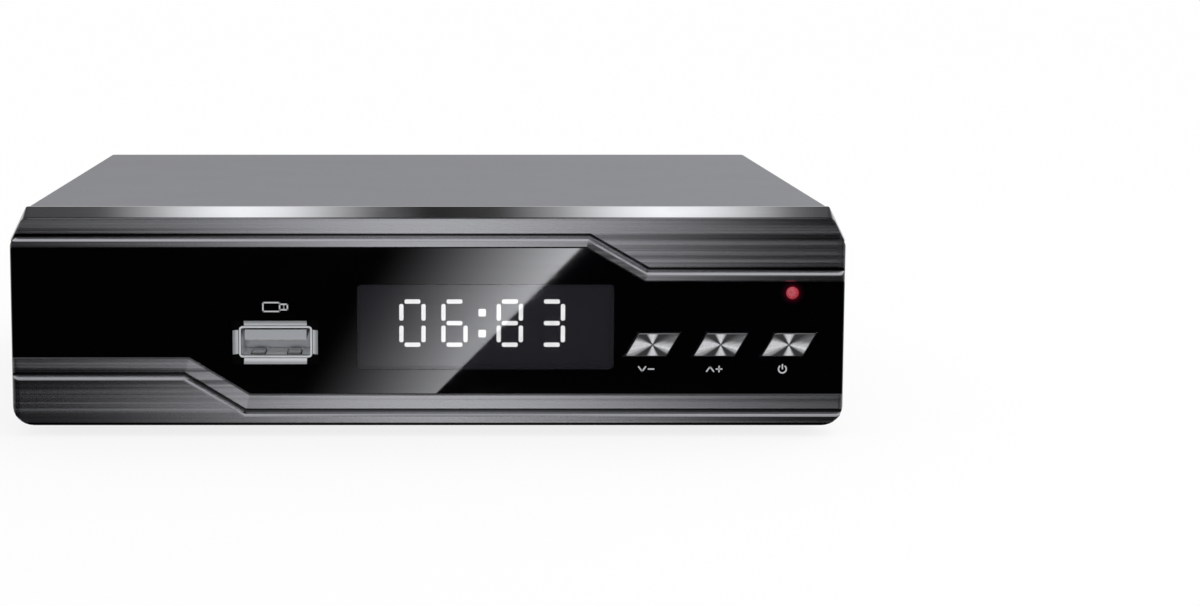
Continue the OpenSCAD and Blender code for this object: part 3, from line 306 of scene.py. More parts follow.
class Finish(Wiring):
    """A material in the making, with its shader and the piece's own place."""

    def __init__(self, name, metallic=0.0, **constants):
        self.material = bpy.data.materials.new(name)
        self.material.use_nodes = True
        super().__init__(self.material.node_tree)
        self.shader = self.tree.nodes["Principled BSDF"]
        self.place = self.here()
        self.put(Metallic=metallic, **constants)

    def group(self, name, **inputs):
        """Adds one of the shared effects."""
        made = self.tree.nodes.new("ShaderNodeGroup")
        made.node_tree = bpy.data.node_groups[name]
        for key, value in inputs.items():
            self.feed(made.inputs[key], value)
        return self.named(made)

    def put(self, **inputs):
        """Feeds inputs of the shader."""
        for key, value in inputs.items():
            self.feed(self.shader.inputs[key.replace("_", " ")], value)
        return self

    def bump(self, height, depth=0.004 * MM):
        """Raises the surface by a height from 0 to 1 times a depth, and gives the finished material."""
        self.put(Normal=self.get(0, "Bump", None, {"Height": height, "Distance": depth}))
        return self.material

    def finished(self, colour, effect, depth=0.004 * MM):
        """Feeds a colour and an effect's roughness and height, and gives the finished material."""
        self.put(Base_Color=colour, Roughness=effect["Roughness"])
        return self.bump(effect["Height"], depth)

    def show(self, shader):
        """Takes another shader for the surface, and gives the finished material."""
        self.feed(self.tree.nodes["Material Output"].inputs["Surface"], shader)
        return self.material


def shared_effect(name, outputs, **inputs):
    """Starts a node group with named outputs, and with named inputs and their first values."""
    tree = bpy.data.node_groups.new(name, "ShaderNodeTree")

    def socket(label, way):
        kind = "NodeSocketColor" if label == "Colour" else "NodeSocketFloat"
        return tree.interface.new_socket(label, in_out=way, socket_type=kind)

    for label, value in inputs.items():
        socket(label, "INPUT").default_value = value
    for label in outputs:
        socket(label, "OUTPUT")
    w = Wiring(tree)
    start = w.named(tree.nodes.new("NodeGroupInput"))
    return w, start, tree.nodes.new("NodeGroupOutput").inputs


def make_shared_effects():
    """Builds the effects that several finishes use."""
    grey = (0.5, 0.5, 0.5, 1)
    w, start, end = shared_effect(
        "Fine grain", ("Colour", "Roughness", "Height"),
        Colour=grey, Size=0.3 * MM, Spread=0.1, Roughness=0.5, Patches=0.05,
    )
    place = w.here()
    grain = w.noise(place, w.math("DIVIDE", 1.0, start["Size"]), 3.0, 0.6)
    cloud = w.noise(place, 45.0, 3.0, 0.6)
    change = grain * 0.7 + cloud * 0.6 - 0.65
    w.feed(end["Colour"], w.scaled(start["Colour"], change * start["Spread"] + 1.0))
    w.feed(end["Roughness"], (cloud - 0.5) * start["Patches"] + start["Roughness"])
    w.feed(end["Height"], grain)

    w, start, end = shared_effect(
        "Brushed streaks", ("Colour", "Roughness", "Height"),
        Colour=grey, Spread=0.3, Roughness=0.3, Across=3600.0,
    )
    parts = w.split(w.here())
    fine = w.join(parts[0] * 5.0, parts[1] * 300.0, parts[2] * start["Across"])
    streak = w.noise(fine, 1.0, 4.0, 0.7)
    band = w.remap(w.noise(w.scaled(fine, (0.6, 0.3, 0.22)), 1.0), 0.33, 0.67)
    change = band * 0.9 + streak * 1.2 - 1.05
    w.feed(end["Colour"], w.scaled(start["Colour"], change * start["Spread"] + 1.0))
    w.feed(end["Roughness"], change * (start["Spread"] * 0.5) + start["Roughness"])
    w.feed(end["Height"], streak)

    w, start, end = shared_effect("Worn edges", ("Mask",), Width=0.25 * MM, Patchy=900.0)
    rounded = w.get(0, "Bevel", {"samples": 4}, {"Radius": start["Width"]})
    edge = w.remap(w.measure("DOT_PRODUCT", rounded, w.normal()), 0.995, 0.80)
    spots = w.noise(w.here(), start["Patchy"], 3.0, 0.65)
    w.feed(end["Mask"], edge * w.remap(spots, 0.35, 0.65))

    w, start, end = shared_effect("Handling marks", ("Roughness",), Roughness=0.1, Amount=0.05)
    smear = w.noise(w.scaled(w.here(), (60.0, 60.0, 110.0)), 1.0, 4.0, 0.7)
    w.feed(end["Roughness"], w.remap(smear, 0.5, 0.75) * start["Amount"] + start["Roughness"])


def plain_finish(
    name, colour, roughness, size=0.3 * MM, spread=0.12, depth=0.01 * MM, worn=None,
    worn_width=0.25 * MM, **constants,
):
    """A moulded, painted or cast surface with grain, and worn edges where worn is their colour."""
    f = Finish(name, **constants)
    grain = f.group(
        "Fine grain", Colour=colour, Size=size, Spread=spread, Roughness=roughness, Patches=0.1
    )
    tone = grain["Colour"]
    if worn:
        tone = f.mix(f.group("Worn edges", Width=worn_width)["Mask"], tone, worn)
    return f.finished(tone, grain, depth)


def brushed_finish(name, colour, roughness, spread=0.35, across=3600.0, **constants):
    """Metal brushed along the piece."""
    f = Finish(name, **constants)
    streaks = f.group("Brushed streaks", Colour=colour, Spread=spread, Roughness=roughness, Across=across)
    return f.finished(streaks["Colour"], streaks)


def dress(material, *names):
    """Gives CAD nodes a finish."""
    for name in names:
        data = nodes[name].data
        data.materials.clear()
        data.materials.append(material)


def dress_plain(finish, colour, roughness, *names, **settings):
    """Gives CAD nodes a plain finish."""
    dress(plain_finish(finish, colour, roughness, **settings), *names)


def add_object(name, bm):
    """Makes an object of a finished bmesh."""
    mesh = bpy.data.meshes.new(name)
    bm.to_mesh(mesh)
    bm.free()
    obj = bpy.data.objects.new(name, mesh)
    bpy.context.scene.collection.objects.link(obj)
    return obj


def add_piece(name, bm, materials, body):
    """Makes a piece of a finished bmesh and lets it ride on its body."""
    bmesh.ops.recalc_face_normals(bm, faces=bm.faces)
    obj = add_object(name, bm)
    for material in materials:
        obj.data.materials.append(material)
    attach(obj, body)
    return obj


def move_new(bm, made, way):
    """Moves the vertices that a bmesh operator has made, and returns them."""
    verts = [item for item in made["geom"] if isinstance(item, bmesh.types.BMVert)]
    bmesh.ops.translate(bm, verts=verts, vec=way)
    return verts


class Pen:
    """Prints raised lines on a drawing that lies on the object."""

    def __init__(self, drawing, width, rise):
        self.bm = bmesh.new()
        self.drawing = drawing
        self.width = width
        self.rise = rise

    def move(self, x, z, unit):
        """Sets the middle of the next mark and its unit of length."""
        self.x = x
        self.z = z
        self.unit = unit

    def lay(self, verts, point, angle):
        """Turns vertices and lays them on a point of the mark."""
        at = Matrix.Translation((self.x + point[0] * self.unit, self.z + point[1] * self.unit, 0))
        turn = Matrix.Rotation(angle, 4, "Z")
        bmesh.ops.transform(self.bm, verts=verts, matrix=self.drawing @ at @ turn)

    def line(self, start, end, share=1.0):
        """Adds a line with round ends, as wide as a share of the pen's width."""
        run = (Vector(end) - Vector(start)) * self.unit
        turn = Matrix.Rotation(math.pi / 12, 4, "Z")
        verts = bmesh.ops.create_circle(
            self.bm, cap_ends=True, segments=12, radius=self.width * share / 2, matrix=turn
        )["verts"]
        for vert in verts:
            if vert.co.x > 0:
                vert.co.x += run.length
        raised = bmesh.ops.extrude_face_region(self.bm, geom=verts[0].link_faces[:])
        tops = move_new(self.bm, raised, (0, 0, self.rise))
        self.lay(verts + tops, start, math.atan2(run.y, run.x))

    def path(self, points, closed=False):
        """Adds lines through points."""
        ends = points[1:] + points[:1] if closed else points[1:]
        for start, end in zip(points, ends):
            self.line(start, end)

    def arc(self, centre, radius, first, last):
        """Adds an arc between two angles in degrees, or a ring."""
        ring = last - first >= 360
        known = set(self.bm.verts)
        inner = radius * self.unit - self.width / 2
        outer = inner + self.width
        corners = [(inner, 0, 0), (outer, 0, 0), (outer, 0, self.rise), (inner, 0, self.rise)]
        verts = [self.bm.verts.new(corner) for corner in corners]
        face = self.bm.faces.new(verts)
        geom = verts + list(face.edges)
        if ring:
            self.bm.faces.remove(face)
        else:
            geom.append(face)
        bmesh.ops.spin(
            self.bm, geom=geom, cent=(0, 0, 0), axis=(0, 0, 1), dvec=(0, 0, 0),
            angle=math.radians(last - first), steps=40, use_merge=ring, use_duplicate=False,
        )
        made = [vert for vert in self.bm.verts if vert not in known]
        self.lay(made, centre, math.radians(first))


class RECEIVER_OT_front(Operator):
    """Finishes of the front panel: carrier, trims, bright strip, window and clock filter"""

    bl_idname = "receiver.front"
    bl_label = "Front panel"

    def groove_light(self, f, place):
        """Painted shade of the grooves' beds: dark under the upper wall and painted light above the lower
        one.
        """
        shades = []
        for left, right, high, low, painted_lit_at, painted_dark_at, light in GROOVES:
            slope = (high - low) / (right - left)
            over_high = place[2] - high * MM
            over_low = place[2] - low * MM
            over_slope = (over_high + (place[0] - left * MM) * slope) / math.hypot(1, slope)
            over = f.math("MAXIMUM", over_high, f.math("MINIMUM", over_slope, over_low))
            shades.append(f.remap(over, painted_lit_at * MM, painted_dark_at * MM, light, 0.1))
        upper, lower = shades
        return f.mix(f.math("GREATER_THAN", place[2], BETWEEN_GROOVES), lower, upper)

    def foil(self, tone):
        """Brushed foil with painted shade: darker under the trims, on the walls and beds of the grooves
        and along the bottom edge.
        """
        f = Finish("Brushed foil", metallic=1.0, Anisotropic=0.9, Anisotropic_Rotation=0.25)
        streaks = f.group("Brushed streaks", Colour=tone, Spread=0.42, Roughness=0.19, Across=2900.0)
        turned = f.split(f.normal())[2]
        # Painted shade on faces that face down, such as the grooves' upper walls: dark to the camera and
        # nearly none to other rays
        straight = f.get("Is Camera Ray", "LightPath")
        under = f.remap(turned, -0.76, -0.84, 1.0, straight * -0.75 + 0.9)
        place = f.split(f.place)
        depth = place[1] - panel_front
        # Painted shade on the outer part of faces that face up, the grooves' lower walls
        painted_wall_shade = f.remap(turned, 0.2, 0.4, 1.0, f.remap(depth, 0.08 * MM, 0.3 * MM, 0.65, 1.0))
        bed = f.remap(depth, *GROOVE_BED, 1.0, self.groove_light(f, place))
        # Painted shade along the bottom edge of the lower trim
        painted_hem_shade = f.remap(place[2], *PAINTED_HEM_SHADE, 0.03, 1.0)
        shade = f.math("MINIMUM", f.math("MINIMUM", under, painted_wall_shade), f.math("MINIMUM", bed, painted_hem_shade))
        return f.finished(f.scaled(streaks["Colour"], shade), streaks)

    def gloss(self, name, colour, size, spread, **constants):
        """Gloss with faint grain and handling marks."""
        f = Finish(name, **constants)
        marks = f.group("Handling marks", Roughness=0.03, Amount=0.02)
        grain = f.group("Fine grain", Colour=colour, Size=size, Spread=spread)
        return f.put(Base_Color=grain["Colour"], Roughness=marks["Roughness"])

    def execute(self, context):
        tone = context.scene.receiver_colours
        dress_plain("Moulded carrier", tone.carrier, 0.5, "front_bezel", depth=0.02 * MM)
        dress(self.foil(tone.trim), "upper_trim", "lower_trim")

        f = Finish("Polished strip", metallic=1.0)
        marks = f.group("Handling marks", Roughness=0.05, Amount=0.04)
        streaks = f.group("Brushed streaks", Colour=tone.strip, Spread=0.06, Across=1500.0)
        f.put(Base_Color=streaks["Colour"], Roughness=marks["Roughness"])
        dress(f.material, "bright_strip")

        f = self.gloss("Black gloss", tone.window, 2 * MM, 0.5, Emission_Strength=1.0)
        # Painted red glow of the lamp on the black window round it, given as emission
        apart = f.measure("DISTANCE", f.place, (lamp_middle.x, window_y, lamp_middle.z))
        glow = f.ramp(apart / (4 * MM), (0.27, "4a050d"), (0.38, "170207"), (0.55, 0.0))
        dress(f.put(Emission_Color=glow).material, "front_window")
        f = self.gloss("Smoked filter", tone.smoke, 1.5 * MM, 0.2, Alpha=0.55, Specular_IOR_Level=0.8)
        dress(f.material, "display_filter")
        return {"FINISHED"}


class RECEIVER_OT_display(Operator):
    """Finishes of the clock, the lamp and the eye for the handset"""

    bl_idname = "receiver.display"
    bl_label = "Clock and lamp"

    def execute(self, context):
        tone = context.scene.receiver_colours
        dress_plain("Display face", "3a393f", 0.6, "display_module", size=0.2 * MM, spread=0.2)
        f = Finish("Lit strokes", Emission_Strength=4.0)
        soft = f.remap(f.noise(f.place, 600.0), 0.2, 0.8)
        lit = f.mix(soft, [part * 0.86 for part in tone.digits], tone.digits)
        f.put(Base_Color=lit, Emission_Color=lit, Roughness=soft * 0.1 + 0.4)
        dress(f.material, "lit_strokes")
        dress_plain("Unlit strokes", "2c2c31", 0.5, "dark_strokes", size=0.2 * MM)

        f = Finish("Red lens", Emission_Strength=0.36, Transmission_Weight=0.2, IOR=1.5)
        bright = (lamp_middle.x - 0.25 * MM, lamp_front, lamp_middle.z + 0.2 * MM)
        spread = f.measure("DISTANCE", f.place, bright) / (1.5 * MM)
        lit = f.ramp(spread, (0.0, "893c49"), (0.3, "b26a76"), (0.6, "9c3e4c"), (0.85, "520a18"))
        spots = f.noise(f.place, 2600.0, 3.0, 0.6)
        body = f.mix(spots, tone.lamp, "9a2430")
        f.put(Base_Color=body, Emission_Color=lit, Roughness=spots * 0.15 + 0.2)
        dress(f.bump(spots, 0.02 * MM), "lamp_lens")
        dress_plain("Lamp resin", "b02a34", 0.25, "status_lamp", size=1.2 * MM, Transmission_Weight=0.3)
        dress_plain("Eye resin", "17141b", 0.2, "remote_receiver", size=1.2 * MM)
        return {"FINISHED"}


class RECEIVER_OT_keys(Operator):
    """Three leaning keys with spun metal faces"""

    bl_idname = "receiver.keys"
    bl_label = "Keys"

    def spun_face(self, tone):
        """Spun metal with painted highlights: bright sectors to the sides and up and down, and a darker
        hub.
        """
        f = Finish("Spun face", metallic=0.2, Specular_IOR_Level=0.4)
        parts = f.split(f.get(0, "UVMap", {"uv_map": "face"}))
        across, up = abs(parts[0]), abs(parts[1])
        far = f.math("SQRT", across * across + up * up)
        reach = f.math("MAXIMUM", far, 0.02)
        rise = parts[0] * 0.12 + parts[1]
        # Painted highlights of spun metal: wide sectors to the sides with painted shade towards the top,
        # and narrow ones up and down
        wide = f.remap(across / reach, 0.8, 1.0) * f.remap(rise, -0.25, 1.3, 1.0, 0.2)
        narrow_painted_highlight = f.remap(up / reach, 0.84, 1.0)
        turn = parts[0] * parts[1] / (reach * reach)
        painted_highlight_rays = f.remap(f.noise(f.join(turn * 11.0, wide * 2.0), 1.0, 3.0, 0.65), 0.25, 0.75)
        rings = f.noise(f.join(far * 9.0), 1.0, 3.0, 0.7)
        patchy = f.noise(f.join(parts[0], parts[1]), 1.6, 3.0)
        # The painted highlights dim towards a darker hub
        shine = f.math("MAXIMUM", wide, narrow_painted_highlight) * (f.remap(far, 0.15, 0.45) * 0.6 + 0.4)
        level = (shine * (painted_highlight_rays * 0.5 + 0.6) + 0.045) * (rings * 0.5 + 0.75) * (patchy * 0.5 + 0.75)
        f.put(Base_Color=f.scaled(tone[:], level), Roughness=rings * 0.15 + 0.3)
        return f.bump(rings)

    def execute(self, context):
        tone = context.scene.receiver_colours.key
        edge_tone = [part * 0.4 for part in tone]
        side = plain_finish("Key edge", edge_tone, 0.28, metallic=1.0, size=0.4 * MM)
        materials = [side, self.spun_face(tone)]
        for name in ("channel_down", "channel_up", "standby"):
            self.build(name, materials, context.scene.receiver_sizes)
            dress_plain("Plunger", "202124", 0.4, name + "_plunger")
        return {"FINISHED"}

    def leaning_block(self, bm, middle, wide, lean, high, y0, y1):
        """Adds a leaning block between two depths and returns its vertices."""
        quad = bmesh.ops.create_grid(bm, x_segments=1, y_segments=1, size=1)["verts"]
        for vert in quad:
            side, rise = vert.co.x, vert.co.y
            x = middle.x + side * wide / 2 + rise * lean / 2
            vert.co = (x, y0, middle.z + rise * high / 2)
        grown = bmesh.ops.extrude_face_region(bm, geom=quad[0].link_faces[:])
        return quad, move_new(bm, grown, (0, y1 - y0, 0))

    def bevel(self, bm, edges, size):
        """Bevels edges in three steps."""
        bmesh.ops.bevel(
            bm, geom=edges, offset=size, segments=3, profile=0.5, affect="EDGES", material=-1
        )

    def build(self, name, materials, sizes):
        """Builds one key in the place of its CAD node."""
        low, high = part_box(name + "_key")
        middle = (low + high) / 2
        whole = high.z - low.z
        tall = whole - 2 * KEY_FLANGE
        grow = 2 * KEY_FLANGE * math.hypot(1, KEY_LEAN)
        wide = high.x - low.x - whole * KEY_LEAN - grow
        flange_y = low.y + KEY_FLANGE_IN
        flange_back = flange_y + KEY_FLANGE_T

        def at_front(item):
            return all(abs(vert.co.y - low.y) < TOUCHING for vert in item.verts)

        bm = bmesh.new()
        fronts, backs = self.leaning_block(
            bm, middle, wide, tall * KEY_LEAN, tall, low.y, flange_y + KEY_FACE_SINK
        )
        upright = [e for v in fronts for e in v.link_edges if e.other_vert(v) in backs]
        self.bevel(bm, upright, sizes.key_round)
        self.bevel(bm, [e for e in bm.edges if at_front(e)], sizes.key_chamfer)
        self.leaning_block(bm, middle, wide + grow, whole * KEY_LEAN, whole, flange_y, flange_back)
        stem_y = flange_back - KEY_STEM_SINK
        at = Matrix.Translation((middle.x, (stem_y + high.y) / 2, middle.z))
        bmesh.ops.create_cone(
            bm, cap_ends=True, segments=32, radius1=KEY_STEM_R, radius2=KEY_STEM_R,
            depth=high.y - stem_y, matrix=at @ Matrix.Rotation(math.pi / 2, 4, "X"),
        )
        layer = bm.loops.layers.uv.new("face")
        for face in bm.faces:
            face.material_index = int(at_front(face))
            face.smooth = face.calc_area() < KEY_SMOOTH_AREA
            for loop in face.loops:
                loop[layer].uv = ((loop.vert.co - middle) / MM).xz
        key = add_piece(name + "_cap", bm, materials, name)
        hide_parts(name + "_key")


class RECEIVER_OT_marks(Operator):
    """Symbols printed on the window and on the rear panel"""

    bl_idname = "receiver.marks"
    bl_label = "Printed marks"

    def execute(self, context):
        tone = context.scene.receiver_colours
        sizes = context.scene.receiver_sizes
        print_look = {"size": 0.12 * MM, "depth": 0.002 * MM}
        ink = plain_finish("Printed ink", tone.marks, 0.5, spread=0.35, **print_look)
        self.front(ink, sizes)
        white = plain_finish("Rear ink", "e9eaeb", 0.5, spread=0.3, **print_look)
        self.rear(white, sizes)
        return {"FINISHED"}

    def front(self, ink, sizes):
        """Marks below the keys and over the storage socket."""
        pen = Pen(ON_FRONT, sizes.print_line, sizes.print_rise)

        def below(name):
            key = middle_of(name)
            pen.move(key.x - sizes.key_mark_left, key.z - sizes.key_mark_drop, sizes.key_mark / 2)

        for name, way in (("channel_down_key", -1), ("channel_up_key", 1)):
            below(name)
            pen.path([(-2, -0.6 * way), (-1.1, 0.6 * way), (-0.2, -0.6 * way)])
            pen.line((0.5, 0), (1.9, 0))
            if way > 0:
                pen.line((1.2, -0.7), (1.2, 0.7))
        below("standby_key")
        pen.arc((0, 0), 1, 125, 415)
        pen.line((0, 0.1), (0, 1.15))
        socket = middle_of("storage_shell")
        pen.move(socket.x, socket.z + sizes.port_mark_rise, sizes.port_mark / 2)
        pen.path([(-2.2, -0.8), (0.8, -0.8), (0.8, 0.8), (-2.2, 0.8)], closed=True)
        pen.path([(0.8, -0.5), (2.2, -0.5), (2.2, 0.5), (0.8, 0.5)])
        for up in (-0.2, 0.2):
            pen.line((1.5, up), (1.6, up), share=0.7)
        add_piece("front_marks", pen.bm, [ink], "case")

    def rear(self, ink, sizes):
        """Marks over the rear sockets, drawn as seen from behind."""
        pen = Pen(ON_REAR, sizes.rear_line, sizes.print_rise)
        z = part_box("aerial_socket")[1].z + sizes.rear_rise

        def over(name):
            pen.move(-middle_of(name).x, z, MM)

        over("aerial_socket")
        pen.line((0, -1.8), (0, 1.8))
        pen.path([(-1.5, 1.8), (0, 0), (1.5, 1.8)])
        over("loop_sleeve")
        pen.line((-1.8, 0), (1.8, 0))
        pen.path([(0.7, 1.1), (1.8, 0), (0.7, -1.1)])
        for name in ("picture_shell", "video_collar"):
            over(name)
            pen.path([(-1.8, -0.9), (1.8, -0.9), (1.8, 1.5), (-1.8, 1.5)], closed=True)
            pen.line((-0.9, -1.6), (0.9, -1.6))
        cone = [(-1.4, -0.5), (-0.6, -0.5), (0.4, -1.4), (0.4, 1.4), (-0.6, 0.5), (-1.4, 0.5)]
        for name, way in (("left_collar", -1), ("right_collar", 1)):
            over(name)
            pen.path([(x * way, y) for x, y in cone], closed=True)
            first = 40 - 90 * way
            pen.arc((0.4 * way, 0), 1.5, first, first + 100)
        over("power_inlet")
        pen.arc((0, 0), 1.2, 40, 320)
        pen.arc((0, 0), 0.4, 0, 360)
        for start, end in ((0.5, 2.6), (-1.3, -2.6), (-4.6, -3.6), (3.6, 4.6)):
            pen.line((start, 0), (end, 0))
        pen.line((4.1, -0.5), (4.1, 0.5))
        add_piece("rear_marks", pen.bm, [ink], "case")


class RECEIVER_OT_storage(Operator):
    """Finishes of the storage socket, with the foam round it"""

    bl_idname = "receiver.storage"
    bl_label = "Storage socket"

    def shell(self, tone, front):
        """Plated sheet with a dark lip, painted light on its inner walls and painted shadow on the
        springs.
        """
        f = Finish("Plated shell", metallic=0.4)
        grain = f.group("Fine grain", Colour=tone, Size=0.5 * MM, Spread=0.2, Roughness=0.32)
        depth = f.split(f.place)[1] - front
        lip = f.remap(depth, 0.15 * MM, 0.6 * MM, 0.6, 1.15)
        ring = f.remap(depth, 0.75 * MM, 0.95 * MM, 1.0, 0.75)
        # Painted light that brightens the shell's inner walls deeper in
        painted_inside_light = f.remap(depth, 1.5 * MM, 3.0 * MM, 1.0, 3.2)
        # Painted shadow on the springs' faces that face the front
        facing = f.remap(f.split(f.normal())[1], -0.3, -0.6)
        painted_spring_shadow = facing * f.remap(depth, 1.6 * MM, 1.8 * MM) * f.remap(depth, 7.5 * MM, 7.0 * MM)
        shade = lip * ring * painted_inside_light * (painted_spring_shadow * -0.85 + 1.0)
        return f.finished(f.scaled(grain["Colour"], shade), grain)

    def outline(self, bm, middle, half_x, half_z, radius, y):
        """Adds a loop of edges with rounded corners round a point and returns its edges."""
        turn = Matrix.Rotation(math.pi / 24, 4, "Z")
        made = bmesh.ops.create_circle(bm, cap_ends=False, segments=24, radius=radius, matrix=turn)
        for vert in made["verts"]:
            across = math.copysign(half_x - radius, vert.co.x)
            up = math.copysign(half_z - radius, vert.co.y)
            vert.co = (middle.x + vert.co.x + across, y, middle.z + vert.co.y + up)
        return list({edge for vert in made["verts"] for edge in vert.link_edges})

    def execute(self, context):
        low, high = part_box("storage_shell")
        dress(self.shell(context.scene.receiver_colours.socket, low.y), "storage_shell")
        dress_plain("Socket tongue", "6a6c6f", 0.5, "storage_tongue")
        dress_plain("Gold contacts", "d6a94a", 0.25, "storage_contacts", metallic=1.0)
        foam = plain_finish(
            "Gasket foam", "030304", 0.9, size=0.35 * MM, spread=0.5, depth=0.05 * MM,
            Specular_IOR_Level=0.1,
        )
        middle = (low + high) / 2
        half_x = (high.x - low.x) / 2 - SHELL_FLARE
        half_z = (high.z - low.z) / 2 - SHELL_FLARE
        rim = SHELL_FLARE + FOAM_PAST_FLARE
        y = low.y + FOAM_IN
        bm = bmesh.new()
        hole = self.outline(bm, middle, half_x, half_z, FOAM_HOLE_R, y)
        edge = self.outline(bm, middle, half_x + rim, half_z + rim, FOAM_EDGE_R, y)
        bmesh.ops.bridge_loops(bm, edges=hole + edge)
        bmesh.ops.solidify(bm, geom=bm.faces[:], thickness=FOAM_T)
        add_piece("storage_gasket", bm, [foam], "case")
        return {"FINISHED"}


class RECEIVER_OT_case(Operator):
    """Finishes of the cover, base, rear panel, feet and screws"""

    bl_idname = "receiver.case"
    bl_label = "Case"

    def execute(self, context):
        tone = context.scene.receiver_colours
        dress_plain(
            "Satin cover paint", tone.cover, 0.5, "top_cover", "rear_panel", size=0.25 * MM,
            spread=0.05, depth=0.006 * MM, worn="a5a9ab", worn_width=0.2 * MM, Specular_IOR_Level=0.3,
        )
        f = Finish("Zinc plate", metallic=0.9)
        crystals = f.split(f.get("Color", "TexVoronoi", None, {"Vector": f.place, "Scale": 260.0}))[0]
        grain = f.group("Fine grain", Colour=tone.steel, Size=0.4 * MM, Spread=0.12, Roughness=0.36)
        tone_now = f.scaled(grain["Colour"], crystals * 0.22 + 0.86)
        tone_now = f.mix(f.group("Worn edges")["Mask"], tone_now, "dfe2e4")
        f.put(Base_Color=tone_now, Roughness=crystals * 0.12 + grain["Roughness"])
        dress(f.bump(grain["Height"]), "base_pan")

        f = Finish("Foot rubber", Specular_IOR_Level=0.3)
        grain = f.group("Fine grain", Colour=tone.rubber, Size=0.5 * MM, Spread=0.4, Roughness=0.75)
        dust = f.remap(f.noise(f.place, 420.0, 4.0, 0.7), 0.5, 0.75)
        dress(f.finished(f.mix(dust, grain["Colour"], "2c2c2d"), grain, 0.03 * MM), "rubber_feet")

        dress_plain(
            "Screw steel", "c4c6c8", 0.3, "cover_screws", "panel_screws", "bezel_screws", "board_screws",
            "control_board_screws", metallic=1.0, spread=0.2, worn="f0f0f0", worn_width=0.15 * MM,
        )
        dress(brushed_finish("Turned pillars", "c8b98a", 0.3, metallic=1.0), "board_pillars")
        return {"FINISHED"}


class RECEIVER_OT_boards(Operator):
    """Finishes of the boards and their parts, with the chips' legs"""

    bl_idname = "receiver.boards"
    bl_label = "Boards"

    def execute(self, context):
        dress(self.solder_mask(context.scene.receiver_colours.board), "main_board", "control_board")
        dress_plain(
            "Chip resin", "1c1d20", 0.55, "processor", "memory_chip", "flash_chip", "regulators",
            size=0.12 * MM, spread=0.3,
        )
        dress_plain("Small parts", "4d4237", 0.45, "small_chips", size=0.6 * MM, spread=0.5)
        dress_plain("Heat pad", "97a0bd", 0.8, "thermal_pad", spread=0.2)
        sink = brushed_finish("Anodised sink", "26282b", 0.42, 0.4, 2400.0, metallic=0.7)
        dress(sink, "heat_sink")
        dress_plain(
            "Tinned sheet", "c6c8ca", 0.26, "tuner_shield", "crystal", metallic=1.0, size=1.2 * MM,
            spread=0.2, worn="efefef",
        )
        dress_plain("Ferrite", "4a4744", 0.7, "inductors", size=0.2 * MM, spread=0.4)
        dress(self.sleeves(), "capacitors")
        dress(brushed_finish("Can tops", "cfd1d3", 0.3, 0.25, metallic=1.0), "capacitor_tops")
        dress_plain("Switch resin", "222326", 0.45, "switch_housings")
        dress_plain("Bright terminals", "cdd0d2", 0.3, "switch_terminals", metallic=1.0)
        dress_plain("Link nylon", "e6e1d2", 0.45, "board_link", size=0.5 * MM, spread=0.1)
        self.legs(context.scene.receiver_sizes.leg_wide)
        return {"FINISHED"}

    def solder_mask(self, green):
        """Green mask over tracks, with bright pads."""
        f = Finish("Solder mask")
        grid = f.get("Fac", "TexBrick", None, {
            "Vector": f.place, "Scale": 1.0, "Mortar Size": 0.25 * MM, "Mortar Smooth": 0.1,
            "Brick Width": 5.2 * MM, "Row Height": 2.1 * MM,
        })
        cells = f.get("Distance", "TexVoronoi", None, {"Vector": f.place, "Scale": 210.0})
        pads = f.remap(cells, 0.09, 0.06)
        pour = f.remap(f.noise(f.place, 38.0, 1.0), 0.47, 0.5)
        tracks = grid * pour
        base = f.mix(tracks, green, [part * 1.55 for part in green])
        base = f.mix(pour, [part * 0.72 for part in green], base)
        base = f.mix(pads, base, "c9c2a0")
        grain = f.group("Fine grain", Colour=base, Spread=0.12, Roughness=0.3)
        f.put(Base_Color=grain["Colour"], Roughness=grain["Roughness"])
        return f.bump(tracks + pour, 0.03 * MM)

    def sleeves(self):
        """Blue sleeve with a pale stripe on one side of each can."""
        f = Finish("Can sleeve")
        normal = f.split(f.normal())
        stripe = f.remap(normal[1], -0.93, -0.95) * f.remap(abs(normal[2]), 0.3, 0.2)
        grain = f.group("Fine grain", Colour="1e3262", Size=0.5 * MM, Spread=0.15, Roughness=0.3)
        return f.finished(f.mix(stripe, grain["Colour"], "b9bec9"), grain)

    def legs(self, wide):
        """Bent legs along the memory and the flash chips."""
        bm = bmesh.new()
        for name, count in (("memory_chip", 18), ("flash_chip", 4)):
            low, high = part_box(name)
            pitch = (high.y - low.y - 2 * LEG_MARGIN) / (count - 1)
            top = (low.z + high.z) / 2
            foot = low.z + LEG_FOOT
            for side, edge in ((-1, low.x), (1, high.x)):
                bends = ((-0.1, top), (0.3, top), (0.5, foot), (0.95, foot))
                path = [(edge + side * out * MM, z) for out, z in bends]
                for i in range(count):
                    y = low.y + LEG_MARGIN + i * pitch - wide / 2
                    points = [bm.verts.new((x, y, z)) for x, z in path]
                    edges = [bm.edges.new(pair) for pair in zip(points, points[1:])]
                    move_new(bm, bmesh.ops.extrude_edge_only(bm, edges=edges), (0, wide, 0))
        bmesh.ops.recalc_face_normals(bm, faces=bm.faces)
        bmesh.ops.solidify(bm, geom=bm.faces[:], thickness=LEG_SHEET_T)
        metal = plain_finish("Tinned legs", "d5d7d9", 0.3, metallic=1.0, size=0.2 * MM)
        add_piece("chip_legs", bm, [metal], "case")


